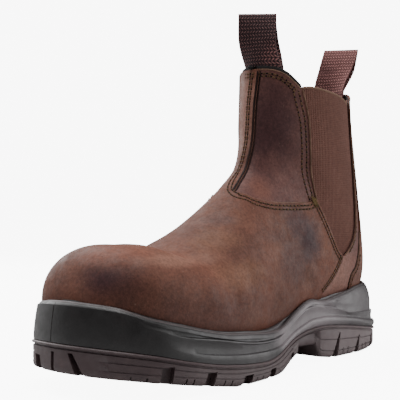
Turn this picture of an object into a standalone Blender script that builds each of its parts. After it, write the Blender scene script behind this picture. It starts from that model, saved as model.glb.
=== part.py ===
"""Pull-on safety boot for the left foot: a leather upper with two elastic gores on a moulded sole.

Metres, +Z up, toe towards -Y, outer side of the foot towards +X.
The origin is on the floor under the middle of the sole's outline.
Lengths are shares of the sole's length from the heel end, and heights are above the floor.
"""

from collections import namedtuple

import bmesh
import bpy
import numpy as np
from mathutils import Vector

# Driving sizes of the whole boot
SOLE_LENGTH = 0.304
SOLE_WIDTH = 0.116
COLLAR_HEIGHT = 0.206
TOE_CAP_HEIGHT = 0.060
GAP = 0.0003

# Heights of the footbed, the foot's side of the sole
HEEL_LIFT = 0.030
BALL_LIFT = 0.018
TOE_LIFT = 0.031

# Sole
HEEL_BLOCK = 0.0243
TREAD_HEIGHT = 0.0115
TOE_SPRING = 0.0122
ARCH_HEIGHT = 0.0120
HEEL_BEVEL = 0.0055
RIM_HEIGHT = 0.0525
RIM_LEAN = 0.0060
RIM_LIP = 0.0024
SCOOP_DEPTH = 0.0014
BAND_STEP = 0.0008
RAND_STEP = 0.0008
TREAD_EDGE = 0.0022
SHANK_INSET = 0.0025
LUG_GAP = 0.0080
LUG_CUT = 0.010
LUG_HEIGHT = 0.0120

# Leather upper
WALL = 0.0026
STEP = 0.0012
INSOLE = 0.0045
STRIP_WIDTH = 0.013
SHAFT_RISE = COLLAR_HEIGHT - BALL_LIFT - TOE_CAP_HEIGHT

# Elastic gores and webbing pull tabs
GORE_THICKNESS = 0.0018
GORE_SEAM = 0.007
WEBBING_WIDTH = 0.026
WEBBING_THICKNESS = 0.0014
TAB_ROOT = 0.016
FRONT_TAB_HEIGHT = 0.039
BACK_TAB_HEIGHT = 0.036
TAB_LOOP = 0.007
TAB_GAP = 0.0010

# How finely the curved surfaces are cut into faces
OUTER_ROUND, OUTER_LONG = 34, 38
INNER_ROUND, INNER_LONG = 24, 32
OUTLINE_STEPS = 30

# Sections of the boot's form from the toe tip over the instep to the collar. Each lies in a plane
# through a foot point and a top point. Heights count up from the footbed, in cap heights and shaft
# rises. Half widths and middles are shares of the sole's width. Belly is the height share of the
# widest place, and crown and edge say how square the two ends are, 2 being round.
Section = namedtuple(
    "Section", "top_along top_cap top_rise foot_along foot_cap foot_rise half middle belly crown edge"
)
SECTIONS = [
    Section(0.977, 0.34, 0.000, 0.977, 0.27, 0.000, 0.013, -0.069, 0.50, 2.0, 2.0),
    Section(0.969, 0.54, 0.000, 0.969, 0.10, 0.000, 0.193, -0.065, 0.50, 2.2, 2.3),
    Section(0.944, 0.80, 0.000, 0.944, 0.03, 0.000, 0.301, -0.056, 0.47, 2.3, 2.6),
    Section(0.898, 0.97, 0.000, 0.898, 0.00, 0.000, 0.381, -0.039, 0.45, 2.3, 3.0),
    Section(0.839, 1.02, 0.000, 0.839, 0.00, 0.000, 0.418, -0.028, 0.43, 2.3, 3.2),
    Section(0.766, 1.04, 0.000, 0.766, 0.00, 0.000, 0.433, -0.016, 0.40, 2.2, 3.4),
    Section(0.690, 1.00, 0.078, 0.681, 0.00, 0.000, 0.430, -0.004, 0.36, 2.1, 3.4),
    Section(0.625, 1.00, 0.156, 0.589, 0.00, 0.000, 0.400, 0.004, 0.35, 2.0, 3.4),
    Section(0.567, 1.00, 0.239, 0.490, 0.00, 0.000, 0.353, 0.008, 0.34, 2.0, 3.2),
    Section(0.515, 1.00, 0.333, 0.368, 0.00, 0.000, 0.313, 0.004, 0.34, 2.0, 3.0),
    Section(0.478, 1.00, 0.418, 0.227, 0.00, 0.000, 0.300, 0.000, 0.34, 2.0, 2.8),
    Section(0.4605, 1.00, 0.489, 0.122, 0.00, 0.000, 0.296, 0.000, 0.34, 2.0, 2.6),
    Section(0.4515, 1.00, 0.560, 0.053, 0.14, 0.000, 0.296, 0.000, 0.36, 2.0, 2.4),
    Section(0.4475, 1.00, 0.630, 0.0305, 0.00, 0.180, 0.294, 0.000, 0.38, 2.0, 2.4),
    Section(0.4455, 1.00, 0.697, 0.0275, 0.00, 0.360, 0.290, 0.000, 0.42, 2.1, 2.3),
    Section(0.444, 1.00, 0.765, 0.0395, 0.00, 0.594, 0.286, 0.000, 0.46, 2.2, 2.3),
    Section(0.443, 1.00, 0.834, 0.0525, 0.00, 0.852, 0.288, 0.000, 0.49, 2.3, 2.3),
    Section(0.442, 1.00, 0.915, 0.0625, 0.00, 1.102, 0.293, 0.000, 0.50, 2.3, 2.4),
    Section(0.442, 1.00, 1.020, 0.0640, 0.00, 1.390, 0.294, 0.000, 0.50, 2.3, 2.4),
]

# Outline of the sole seen from above: both edges as shares of the width
OUTLINE = [
    # along, outer, inner
    (0.000, 0.000, 0.000),
    (0.012, 0.150, -0.150),
    (0.060, 0.284, -0.284),
    (0.141, 0.334, -0.336),
    (0.237, 0.342, -0.338),
    (0.352, 0.345, -0.330),
    (0.460, 0.372, -0.345),
    (0.575, 0.458, -0.425),
    (0.681, 0.490, -0.485),
    (0.766, 0.478, -0.503),
    (0.845, 0.452, -0.502),
    (0.918, 0.380, -0.447),
    (0.972, 0.232, -0.335),
    (1.000, -0.040, -0.050),
]

# Height of the footbed: shares of the heel's and the toe's lift over the ball's
FOOTBED = [
    # along, heel, toe
    (0.00, 1.00, 0.00),
    (0.22, 1.00, 0.00),
    (0.33, 0.86, 0.00),
    (0.42, 0.50, 0.00),
    (0.52, 0.12, 0.00),
    (0.63, 0.00, 0.00),
    (0.76, 0.00, 0.12),
    (0.85, 0.00, 0.42),
    (0.92, 0.00, 0.74),
    (1.00, 0.00, 1.00),
]

# Underside of the tread: shares of the heel bevel, the arch's height and the toe spring
GROUND = [
    # along, bevel, arch, toe
    (0.0000, 1.00, 0.00, 0.00),
    (0.0300, 0.55, 0.00, 0.00),
    (0.0600, 0.34, 0.00, 0.00),
    (0.1000, 0.14, 0.00, 0.00),
    (0.1500, 0.00, 0.00, 0.00),
    (0.2800, 0.00, 0.00, 0.00),
    (0.3430, 0.50, 0.00, 0.00),
    (0.3455, 0.00, 0.95, 0.00),
    (0.3900, 0.00, 1.00, 0.00),
    (0.4300, 0.00, 1.05, 0.00),
    (0.4400, 0.00, 0.72, 0.00),
    (0.4790, 0.00, 0.36, 0.00),
    (0.5250, 0.00, 0.04, 0.00),
    (0.5500, 0.00, 0.00, 0.00),
    (0.7150, 0.00, 0.00, 0.00),
    (0.7500, 0.00, 0.00, 0.12),
    (0.8400, 0.00, 0.00, 0.45),
    (0.9000, 0.00, 0.00, 0.68),
    (0.9500, 0.00, 0.00, 0.86),
    (1.0000, 0.00, 0.00, 1.00),
]

# Top of the outsole: shares of the heel block, the tread's height and the toe spring
TREAD_TOP = [
    # along, heel, tread, toe
    (0.000, 0.65, 0.00, 0.00),
    (0.079, 0.69, 0.00, 0.00),
    (0.184, 0.84, 0.00, 0.00),
    (0.263, 0.95, 0.00, 0.00),
    (0.316, 1.00, 0.00, 0.00),
    (0.364, 1.00, 0.00, 0.00),
    (0.409, 0.93, 0.00, 0.00),
    (0.449, 0.75, 0.20, 0.00),
    (0.499, 0.40, 0.62, 0.00),
    (0.550, 0.10, 0.92, 0.00),
    (0.603, 0.00, 1.00, 0.00),
    (0.655, 0.00, 1.04, 0.00),
    (0.712, 0.00, 1.13, 0.02),
    (0.769, 0.00, 1.19, 0.14),
    (0.845, 0.00, 1.26, 0.43),
    (0.905, 0.00, 1.38, 0.65),
    (0.955, 0.00, 1.42, 0.85),
    (1.000, 0.00, 1.46, 1.00),
]

# Rim of the midsole: low at the ball, with a shoulder over the waist
RIM = [
    # along, share of the rim's height
    (0.000, 0.975),
    (0.060, 0.955),
    (0.104, 0.935),
    (0.140, 0.915),
    (0.173, 0.890),
    (0.220, 0.850),
    (0.266, 0.812),
    (0.300, 0.792),
    (0.330, 0.803),
    (0.358, 0.824),
    (0.384, 0.800),
    (0.418, 0.728),
    (0.454, 0.640),
    (0.492, 0.568),
    (0.537, 0.541),
    (0.601, 0.547),
    (0.653, 0.568),
    (0.705, 0.594),
    (0.742, 0.621),
    (0.796, 0.676),
    (0.845, 0.743),
    (0.906, 0.829),
    (0.937, 0.886),
    (0.970, 0.960),
    (1.000, 1.000),
]

# Side of the midsole from its bottom to its rim. Lean draws the side in, the band stands proud,
# and a low and a high scoop hollow it. Inset and rise shape the rim's double lip.
MIDSOLE_SIDE = [
    # height, lean, band, low scoop, high scoop, inset, rise
    (0.00, 0.00, 0.0, 0.0, 0.0, 0.0, 0.0),
    (0.05, 0.02, 1.0, 0.0, 0.0, 0.0, 0.0),
    (0.25, 0.12, 1.0, 0.0, 0.0, 0.0, 0.0),
    (0.31, 0.16, 0.0, 1.0, 0.0, 0.0, 0.0),
    (0.42, 0.24, 0.0, 0.8, 0.0, 0.0, 0.0),
    (0.56, 0.38, 0.0, 0.0, 0.0, 0.0, 0.0),
    (0.71, 0.55, 0.0, 0.0, 0.0, 0.0, 0.0),
    (0.76, 0.60, 0.0, 0.0, 1.0, 0.0, 0.0),
    (0.89, 0.80, 0.0, 0.0, 0.9, 0.0, 0.0),
    (0.93, 0.90, 0.0, 0.0, 0.0, 0.1, 0.0),
    (1.00, 1.00, 0.0, 0.0, 0.0, 0.4, 0.0),
    (1.00, 1.00, 0.0, 0.0, 0.0, 1.0, 0.0),
    (1.00, 1.00, 0.0, 0.0, 0.0, 1.3, -0.4),
    (1.00, 1.00, 0.0, 0.0, 0.0, 1.7, 0.6),
]

# How strongly the lean, the band, the two scoops and the double lip show along the sole
SIDE_FADE = [
    # along, lean, band, low scoop, high scoop, lip
    (0.000, 1.00, 1.0, 0.5, 0.0, 0.0),
    (0.100, 0.95, 1.0, 0.6, 0.0, 0.2),
    (0.250, 0.60, 1.0, 0.8, 0.0, 0.8),
    (0.330, 0.35, 0.8, 0.9, 0.1, 1.0),
    (0.420, 0.25, 0.5, 1.0, 1.0, 1.0),
    (0.600, 0.20, 0.3, 1.0, 1.0, 1.0),
    (0.850, 0.30, 0.3, 1.0, 1.0, 0.7),
    (0.882, 0.34, 0.3, 1.0, 1.0, 0.3),
    (0.902, 0.38, 0.2, 0.0, 1.0, 0.0),
    (0.924, 0.40, 0.1, 0.0, 1.0, 0.0),
    (0.944, 0.44, 0.0, 0.0, 0.0, 0.0),
    (1.000, 0.50, 0.0, 0.0, 0.0, 0.0),
]

# Side of the outsole: shares of the edge's rounding and of the rand's step
OUTSOLE_SIDE = [
    # height, edge, rand
    (0.00, 1.0, 0.0),
    (0.15, 0.1, 0.0),
    (0.76, 0.0, 0.0),
    (0.82, 0.0, 1.0),
    (1.00, 0.0, 1.0),
]

# Lines on the upper seen from the side: shares of the sole's length and of the collar's height
COLLAR_FRONT = [
    (0.460, 1.001), (0.441, 1.001), (0.418, 0.998), (0.396, 0.985), (0.376, 0.960), (0.360, 0.938),
]
COLLAR_BACK = [(0.155, 0.912), (0.130, 0.932), (0.098, 0.955), (0.062, 0.968), (0.030, 0.970)]
GORE_FRONT = [
    (0.362, 1.040), (0.354, 0.932), (0.343, 0.873), (0.334, 0.825), (0.329, 0.757), (0.325, 0.670),
    (0.317, 0.600), (0.306, 0.548), (0.281, 0.490), (0.256, 0.429), (0.232, 0.376), (0.212, 0.350),
]
GORE_BACK = [
    (0.200, 0.352), (0.182, 0.370), (0.156, 0.408), (0.138, 0.470), (0.129, 0.573), (0.131, 0.704),
    (0.140, 0.825), (0.150, 0.932), (0.156, 1.040),
]
GORE_TOP = [(0.360, 0.938), (0.325, 0.944), (0.275, 0.939), (0.212, 0.928), (0.145, 0.908)]
PANEL_SEAM = [
    (0.545, 0.586), (0.519, 0.567), (0.503, 0.553), (0.465, 0.542), (0.415, 0.540), (0.343, 0.542),
    (0.300, 0.556),
]
QUARTER_SEAM = [(0.212, 0.345), (0.221, 0.327), (0.247, 0.284), (0.279, 0.245), (0.301, 0.222)]
STRAP_EDGE = [
    (0.168, 0.238), (0.161, 0.275), (0.138, 0.308), (0.124, 0.359), (0.112, 0.437), (0.100, 0.583),
    (0.100, 0.777), (0.108, 1.040),
]

# Gaps between the lugs: place at the ground and at the gap's top, counted in outline rows, widths
# there as shares of the lug gap, height as a share of the lug's, and depth as a share of the cut
OUTER_LUGS = [
    # low place, high place, low width, high width, height, depth
    (2.55, 2.36, 0.80, 0.20, 0.95, 0.8),
    (3.50, 3.25, 1.00, 0.20, 1.10, 1.0),
    (4.42, 4.16, 1.15, 0.20, 1.45, 1.2),
    (6.24, 6.08, 0.60, 0.50, 0.60, 0.8),
    (7.25, 7.09, 1.00, 0.90, 0.50, 0.5),
    (8.20, 8.00, 1.15, 1.10, 0.50, 0.5),
    (9.48, 9.27, 1.05, 1.00, 0.62, 0.5),
    (10.68, 10.58, 1.00, 0.95, 0.78, 0.5),
    (12.60, 12.78, 0.50, 0.30, 1.05, 0.6),
]
INNER_LUGS = [
    # low place, high place, low width, high width, height, depth
    (2.55, 2.36, 0.80, 0.20, 0.95, 0.8),
    (3.50, 3.25, 1.00, 0.20, 1.10, 1.0),
    (4.42, 4.16, 1.15, 0.20, 1.45, 1.2),
    (6.24, 6.08, 0.60, 0.50, 0.60, 0.8),
    (7.25, 7.09, 1.00, 0.90, 0.50, 0.5),
    (8.20, 8.00, 1.15, 1.10, 0.50, 0.5),
    (9.48, 9.27, 1.05, 1.00, 0.62, 0.5),
    (10.55, 10.45, 1.00, 0.95, 0.72, 0.5),
    (11.50, 11.40, 0.90, 0.80, 0.75, 0.6),
    (12.38, 12.28, 0.85, 0.75, 0.65, 1.0),
    (12.82, 12.82, 0.22, 0.22, 1.00, 0.5),
]


def smooth(rows, places):
    """Rows read at places counted in rows, on a smooth curve through them."""
    rows = np.asarray(rows, float)
    places = np.clip(np.asarray(places, float), 0.0, len(rows) - 1 - 1e-9)
    start = np.floor(places).astype(int)
    f = (places - start)[:, None]
    padded = np.vstack([2 * rows[0] - rows[1], rows, 2 * rows[-1] - rows[-2]])
    a, b, c, d = (padded[start + k] for k in range(4))
    return 0.5 * (2 * b + (c - a) * f + (2 * a - 5 * b + 4 * c - d) * f**2 + (3 * b - a - 3 * c + d) * f**3)


def curve(rows, steps):
    """Points of the smooth curve through rows, with so many steps between two rows."""
    return smooth(rows, np.linspace(0, len(rows) - 1, steps * (len(rows) - 1) + 1))


def column(rows, along, index):
    """One column of a table at each place along the sole, straight between its rows."""
    table = np.asarray(rows, float)
    return np.interp(along, table[:, 0], table[:, index])


def footbed(along):
    """Height of the foot's side of the sole."""
    heel = column(FOOTBED, along, 1) * (HEEL_LIFT - BALL_LIFT)
    toe = column(FOOTBED, along, 2) * (TOE_LIFT - BALL_LIFT)
    return BALL_LIFT + heel + toe


def ground(along):
    """Height of the tread's underside, with the arch, the heel's bevel and the toe spring."""
    lift = column(GROUND, along, 1) * HEEL_BEVEL + column(GROUND, along, 2) * ARCH_HEIGHT
    return lift + column(GROUND, along, 3) * TOE_SPRING


def tread_top(along):
    """Height of the outsole's upper face."""
    heel = column(TREAD_TOP, along, 1) * HEEL_BLOCK
    return heel + column(TREAD_TOP, along, 2) * TREAD_HEIGHT + column(TREAD_TOP, along, 3) * TOE_SPRING


def rim(along):
    """Height of the midsole's rim round the upper."""
    return column(RIM, along, 1) * RIM_HEIGHT


def edge_points(places):
    """Places on the outer and the inner edge of the sole, as (x, y along from the heel)."""
    rows = np.asarray(OUTLINE, float)
    size = np.array([SOLE_WIDTH, SOLE_LENGTH])
    sides = []
    for side, other in ((1, 2), (2, 1)):
        before = rows[1, [other, 0]] * (1, 1)
        after = rows[-2, [other, 0]]
        loop = np.vstack([before, rows[:, [side, 0]], after])
        sides.append(smooth(loop, np.asarray(places) + 1) * size)
    return sides


def place_of(along):
    """The place, counted in outline rows, that lies at a share of the length."""
    fine = np.linspace(0, len(OUTLINE) - 1, 2001)
    return np.interp(along, edge_points(fine)[0][:, 1] / SOLE_LENGTH, fine)


def centre():
    """Middle of the sole's outline, which the origin lies under."""
    points = np.vstack(edge_points(np.linspace(0, len(OUTLINE) - 1, 801)))
    return (points.min(axis=0) + points.max(axis=0)) / 2


CENTRE = centre()


def world(point):
    """A point given as (x, distance from the heel, height) in the part's own frame."""
    return Vector((point[0] - CENTRE[0], CENTRE[1] - point[1], point[2]))


def material(name, colour, roughness):
    """A plain finish."""
    made = bpy.data.materials.new(name)
    made.use_nodes = True
    shader = made.node_tree.nodes["Principled BSDF"]
    shader.inputs["Base Color"].default_value = (*colour, 1.0)
    shader.inputs["Roughness"].default_value = roughness
    shader.inputs["Metallic"].default_value = 0.0
    return made


def solid(name, points, faces, finish=None):
    """An object from points and faces, with its faces turned outwards. A cutter has no finish."""
    mesh = bpy.data.meshes.new(name)
    mesh.from_pydata([world(p) for p in points], [], [tuple(int(i) for i in f) for f in faces])
    work = bmesh.new()
    work.from_mesh(mesh)
    bmesh.ops.recalc_face_normals(work, faces=work.faces)
    work.to_mesh(mesh)
    work.free()
    made = bpy.data.objects.new(name, mesh)
    bpy.context.scene.collection.objects.link(made)
    if finish is None:
        made.hide_render = True
        made.display_type = "WIRE"
    else:
        mesh.materials.append(finish)
        mesh.shade_smooth()
        mesh.set_sharp_from_angle(angle=0.6)
    return made


def cut(target, operation, other):
    """A Boolean of the target with another solid."""
    modifier = target.modifiers.new(operation.title() + "_" + other.name, "BOOLEAN")
    modifier.operation = operation
    modifier.solver = "EXACT"
    modifier.object = other


def rings_solid(name, rings, finish=None):
    """A closed solid through rings of points, with a flat cap at each end."""
    long, round_, _ = rings.shape
    faces = []
    for k in range(long - 1):
        for i in range(round_):
            j = (i + 1) % round_
            faces.append((k * round_ + i, k * round_ + j, (k + 1) * round_ + j, (k + 1) * round_ + i))
    faces.append(range(round_))
    faces.append(range((long - 1) * round_, long * round_))
    return solid(name, rings.reshape(-1, 3), faces, finish)


def form_rings(offset, round_, long, reach=0.0):
    """The boot's form, its surface moved out by offset, and its open top raised by reach."""
    rows = smooth(SECTIONS, np.linspace(0, len(SECTIONS) - 1, long))
    angle = np.linspace(0, 2 * np.pi, round_, endpoint=False)
    across, up = np.sin(angle), -np.cos(angle)
    rings = np.zeros((long, round_, 3))
    for ring, row in zip(rings, rows):
        cut_at = Section(*row)
        power = np.where(up > 0, 2 / cut_at.crown, 2 / cut_at.edge)
        reach_up = np.abs(up) ** power
        height = cut_at.belly + np.where(up > 0, (1 - cut_at.belly) * reach_up, -cut_at.belly * reach_up)
        top = footbed(cut_at.top_along) + cut_at.top_cap * TOE_CAP_HEIGHT + cut_at.top_rise * SHAFT_RISE
        foot = footbed(cut_at.foot_along) + cut_at.foot_cap * TOE_CAP_HEIGHT + cut_at.foot_rise * SHAFT_RISE
        along = cut_at.foot_along + (cut_at.top_along - cut_at.foot_along) * height
        wide = cut_at.half * np.sign(across) * np.abs(across) ** power
        ring[:, 0] = (wide + cut_at.middle) * SOLE_WIDTH
        ring[:, 1] = along * SOLE_LENGTH
        ring[:, 2] = foot + (top - foot) * height
    round_way = np.roll(rings, -1, axis=1) - np.roll(rings, 1, axis=1)
    long_way = np.gradient(rings, axis=0)
    normal = np.cross(round_way, long_way)
    normal /= np.linalg.norm(normal, axis=2, keepdims=True)
    middle = rings.mean(axis=1, keepdims=True)
    if ((rings - middle) * normal).sum() < 0:
        normal = -normal
    rings = rings + normal * offset
    rings[-1, :, 2] += reach
    return rings


def form(name, offset, finish=None, fine=True, reach=0.0):
    """A closed solid of the form."""
    count = (OUTER_ROUND, OUTER_LONG) if fine else (INNER_ROUND, INNER_LONG)
    return rings_solid(name, form_rings(offset, *count, reach), finish)


def prism(name, outline, low, high):
    """A cutter: a side view outline, in shares of length and collar height, from x low to x high."""
    outline = np.asarray(outline, float) * (SOLE_LENGTH, COLLAR_HEIGHT)
    return block(name, outline, low, high)


def block(name, outline, low, high):
    """A cutter: a side view outline in metres from x low to x high."""
    count = len(outline)
    points = [(x, *p) for x in (low, high) for p in outline]
    faces = [(i, (i + 1) % count, count + (i + 1) % count, count + i) for i in range(count)]
    return solid(name, points, [*faces, range(count), range(count, 2 * count)])


def footbed_slab(name, lift):
    """A cutter: everything below a surface that lies lift above the footbed."""
    along = np.linspace(-0.05, 1.05, 34)
    top = np.c_[along * SOLE_LENGTH, footbed(np.clip(along, 0, 1)) + lift]
    low = [(top[-1, 0], -SOLE_WIDTH), (top[0, 0], -SOLE_WIDTH)]
    return block(name, np.vstack([top, low]), -SOLE_WIDTH, SOLE_WIDTH)


def edge_normals(points):
    """Outward directions of a closed loop of points seen from above."""
    tangent = np.roll(points, -1, axis=0) - np.roll(points, 1, axis=0)
    normal = np.c_[tangent[:, 1], -tangent[:, 0]]
    normal /= np.linalg.norm(normal, axis=1, keepdims=True)
    if ((points - points.mean(axis=0)) * normal).sum() < 0:
        normal = -normal
    return normal


def edge_loop():
    """The sole's outline: points of the outer edge, then of the inner edge back to the heel."""
    kinks = place_of(np.array(GROUND)[5:15, 0])
    even = np.linspace(0, len(OUTLINE) - 1, OUTLINE_STEPS)
    even = [p for p in even if np.abs(kinks - p).min() > 0.15]
    places = np.sort(np.concatenate([even, kinks]))
    outer, inner = edge_points(places)
    return np.vstack([outer, inner[-2:0:-1]])


def sole_solid(name, side, bottom, top, finish):
    """A closed solid between two heights along the sole, with a stepped side.

    side gives each level's height share, and its outward move and rise along the sole.
    """
    loop = edge_loop()
    normal = edge_normals(loop)
    along = np.clip(loop[:, 1] / SOLE_LENGTH, 0, 1)
    low, high = bottom(along), top(along)
    rings = []
    for share, move, rise in side:
        spot = loop + normal * move(along)[:, None]
        rings.append(np.c_[spot, low + (high - low) * share + rise(along)])
    count = len(loop)
    faces = []
    for k in range(len(rings) - 1):
        for i in range(count):
            j = (i + 1) % count
            faces.append((k * count + i, k * count + j, (k + 1) * count + j, (k + 1) * count + i))
    for k in (0, len(rings) - 1):
        first = k * count
        half = count // 2
        faces.append((first, first + 1, first + count - 1))
        faces.append((first + half, first + half - 1, first + half + 1))
        for i in range(1, half - 1):
            faces.append((first + i, first + i + 1, first + count - i - 1, first + count - i))
    return solid(name, np.vstack(rings), faces, finish)


def make_outsole(finish):
    """The lugged outsole with its heel, arch and toe spring."""
    side = []
    for height, edge, rand in OUTSOLE_SIDE:

        def move(along, edge=edge, rand=rand):
            shank = np.interp(along, [0.343, 0.3455, 0.430, 0.440], [0, 1, 1, 0])
            return rand * RAND_STEP - edge * TREAD_EDGE - shank * SHANK_INSET * (1 - rand)

        side.append((height, move, np.zeros_like))
    outsole = sole_solid("outsole", side, ground, tread_top, finish)
    cut(outsole, "DIFFERENCE", lug_gaps())
    return outsole


def lug_gaps():
    """A cutter: the gaps between the lugs, from each edge inwards."""
    points, faces = [], []
    for lugs, side in ((OUTER_LUGS, 0), (INNER_LUGS, 1)):
        for low, high, low_width, high_width, height, depth in lugs:
            near = edge_points([low - 0.05, low, low + 0.05, high])[side]
            tangent = near[2] - near[0]
            tangent /= np.linalg.norm(tangent)
            inward = np.array([-tangent[1], tangent[0]]) * (1 if side == 0 else -1)
            floor = float(ground(near[1][1:] / SOLE_LENGTH)[0])
            first = len(points)
            levels = ((near[1], -LUG_CUT / 2, low_width), (near[3], height * LUG_HEIGHT, high_width))
            for spot, lift, width in levels:
                for reach, way in ((-0.6, -1), (depth, -1), (depth, 1), (-0.6, 1)):
                    corner = spot + inward * reach * LUG_CUT + tangent * way * width * LUG_GAP / 2
                    points.append((*corner, floor + lift))
            corners = [(0, 1, 2, 3), (4, 5, 6, 7), (0, 1, 5, 4), (1, 2, 6, 5), (2, 3, 7, 6), (3, 0, 4, 7)]
            faces += [tuple(first + i for i in face) for face in corners]
    return solid("lug_gaps", points, faces)


def make_midsole(finish, recess):
    """The moulded midsole, a cup whose rim climbs at the heel and the toe."""
    side = []
    for height, lean, band, low_scoop, high_scoop, inset, rise in MIDSOLE_SIDE:

        def move(along, row=(lean, band, low_scoop, high_scoop), inset=inset):
            fades = [column(SIDE_FADE, along, k) for k in range(1, 5)]
            sizes = (-RIM_LEAN, BAND_STEP, -SCOOP_DEPTH, -SCOOP_DEPTH)
            return sum(r * f * size for r, f, size in zip(row, fades, sizes)) - inset * RIM_LIP

        side.append((height, move, lambda along, rise=rise: rise * RIM_LIP * column(SIDE_FADE, along, 5)))
    midsole = sole_solid("midsole", side, lambda along: tread_top(along) + GAP, rim, finish)
    cut(midsole, "DIFFERENCE", recess)
    return midsole


def make_upper(finish):
    """The leather upper: one hollow wall, thinner at the side panels and the quarters."""
    upper = form("upper", 0.0, finish)
    high = 1.15
    panel = [(0.56, high), (0.56, 0.600), *curve(PANEL_SEAM, 2), (0.29, high)]
    half = STRIP_WIDTH / 2
    cut(upper, "DIFFERENCE", prism("outer_panel", panel, half, SOLE_WIDTH))
    cut(upper, "DIFFERENCE", prism("inner_panel", panel, -SOLE_WIDTH, -half))
    rim_line = [(a, (rim(a) - RIM_LIP) / COLLAR_HEIGHT) for a in (0.300, 0.235, 0.170)]
    quarter = [*curve(QUARTER_SEAM, 2)[:-1], *rim_line, *curve(STRAP_EDGE, 1), (0.18, 1.040), (0.18, 0.45)]
    cut(upper, "DIFFERENCE", prism("quarters", quarter, -SOLE_WIDTH, SOLE_WIDTH))
    cut(upper, "UNION", form("panel_face", -STEP, reach=-0.002))
    cut(upper, "DIFFERENCE", form("inside", -WALL, fine=False, reach=0.010))
    cut(upper, "DIFFERENCE", footbed_slab("under_upper", INSOLE))
    front = curve(COLLAR_FRONT, 2)
    back = curve(COLLAR_BACK, 2)
    above = [(0.50, COLLAR_FRONT[0][1]), *front, *back, (-0.05, COLLAR_BACK[-1][1]), (-0.05, high), (0.50, high)]
    cut(upper, "DIFFERENCE", prism("above_collar", above, -SOLE_WIDTH, SOLE_WIDTH))
    notch = [*curve(GORE_FRONT, 2), *curve(GORE_BACK, 2)]
    cut(upper, "DIFFERENCE", prism("gore_notch", notch, -SOLE_WIDTH, SOLE_WIDTH))
    return upper


def make_gore(name, side, finish):
    """One elastic gore: a sheet inside the leather, its border under the notch's edge."""
    seam = np.array([GORE_SEAM / SOLE_LENGTH, GORE_SEAM / COLLAR_HEIGHT])
    front = curve(GORE_FRONT[1:], 2) + (seam[0], 0)
    back = curve(GORE_BACK[:-1], 2) - (seam[0], 0)
    low = np.array([[0.206, GORE_FRONT[-1][1] - seam[1]]])
    outline = np.vstack([curve(GORE_TOP, 2), back[::-1], low, front[::-1]])
    gore = form(name, -WALL - GAP, finish, fine=False)
    cut(gore, "DIFFERENCE", form(name + "_inside", -WALL - GAP - GORE_THICKNESS, fine=False, reach=0.010))
    reach = sorted((side * SOLE_WIDTH / 10, side * SOLE_WIDTH))
    cut(gore, "INTERSECT", prism(name + "_outline", outline, *reach))
    return gore


def make_insole(finish):
    """The insole board and footbed, which lies in the midsole under the upper's lower edge."""
    insole = form("insole", 0.0, finish)
    cut(insole, "INTERSECT", footbed_slab("under_insole", INSOLE - GAP))
    return insole


def inner_wall(x, toward, height):
    """Place of the collar's inner face at x, at the front (toward 1) or at the back (-1)."""
    rings = form_rings(-WALL - TAB_GAP, INNER_ROUND, INNER_LONG)
    end = INNER_ROUND // 2 if toward > 0 else 0
    ring = rings[np.abs(rings[:, end, 2] - height).argmin()]
    near = ring[(np.arange(-4, 5) + end) % INNER_ROUND]
    near = near[near[:, 0].argsort()]
    return np.interp(x, near[:, 0], near[:, 1])


def make_tab(name, toward, height, rise, middle, lean, twist, finish):
    """A webbing loop sewn inside the collar.

    toward is 1 at the front and -1 at the back, lean moves the top towards the toe, and twist
    turns the top about the vertical, in radians.
    """
    rise = rise + TAB_ROOT
    floor = height - rise
    # Rows of the loop's path: height share, and distance from the wall as a share of the loop
    path = curve(
        [(0.00, 0.00), (0.16, 0.00), (0.32, 0.00), (0.55, -0.22), (0.80, -0.25), (0.96, 0.00), (1.00, 0.35),
         (0.96, 0.70), (0.80, 0.92), (0.55, 0.72), (0.32, 0.26), (0.16, 0.20), (0.00, 0.20)], 2
    )
    up, away = path[:, 0] * rise, path[:, 1] * TAB_LOOP
    direction = np.c_[np.gradient(away), np.gradient(up)]
    direction /= np.linalg.norm(direction, axis=1, keepdims=True)
    wide = np.linspace(-0.5, 0.5, 5) * WEBBING_WIDTH
    wall = inner_wall(middle + wide, toward, floor)
    bow = toward * (wall[2] - wall)
    sections = []
    for k, share in enumerate(path[:, 0]):
        free = np.clip((share - 0.3) / 0.7, 0, 1)
        turn = twist * free * free * (3 - 2 * free)
        flat = 1 - np.clip((share - 0.25) / 0.35, 0, 1)
        ring = []
        for face in (-0.5, 0.5):
            shift = face * WEBBING_THICKNESS
            depth = away[k] + shift * direction[k][1] + bow * flat + WEBBING_THICKNESS / 2
            level = np.full(5, floor + up[k] - shift * direction[k][0])
            x = wide * np.cos(turn) - depth * np.sin(turn)
            y = wall[2] - toward * (depth * np.cos(turn) + wide * np.sin(turn))
            face_points = np.c_[x + middle, y + lean * free, level]
            ring.append(face_points if face < 0 else face_points[::-1])
        sections.append(np.vstack(ring))
    return rings_solid(name, np.array(sections), finish)


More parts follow.
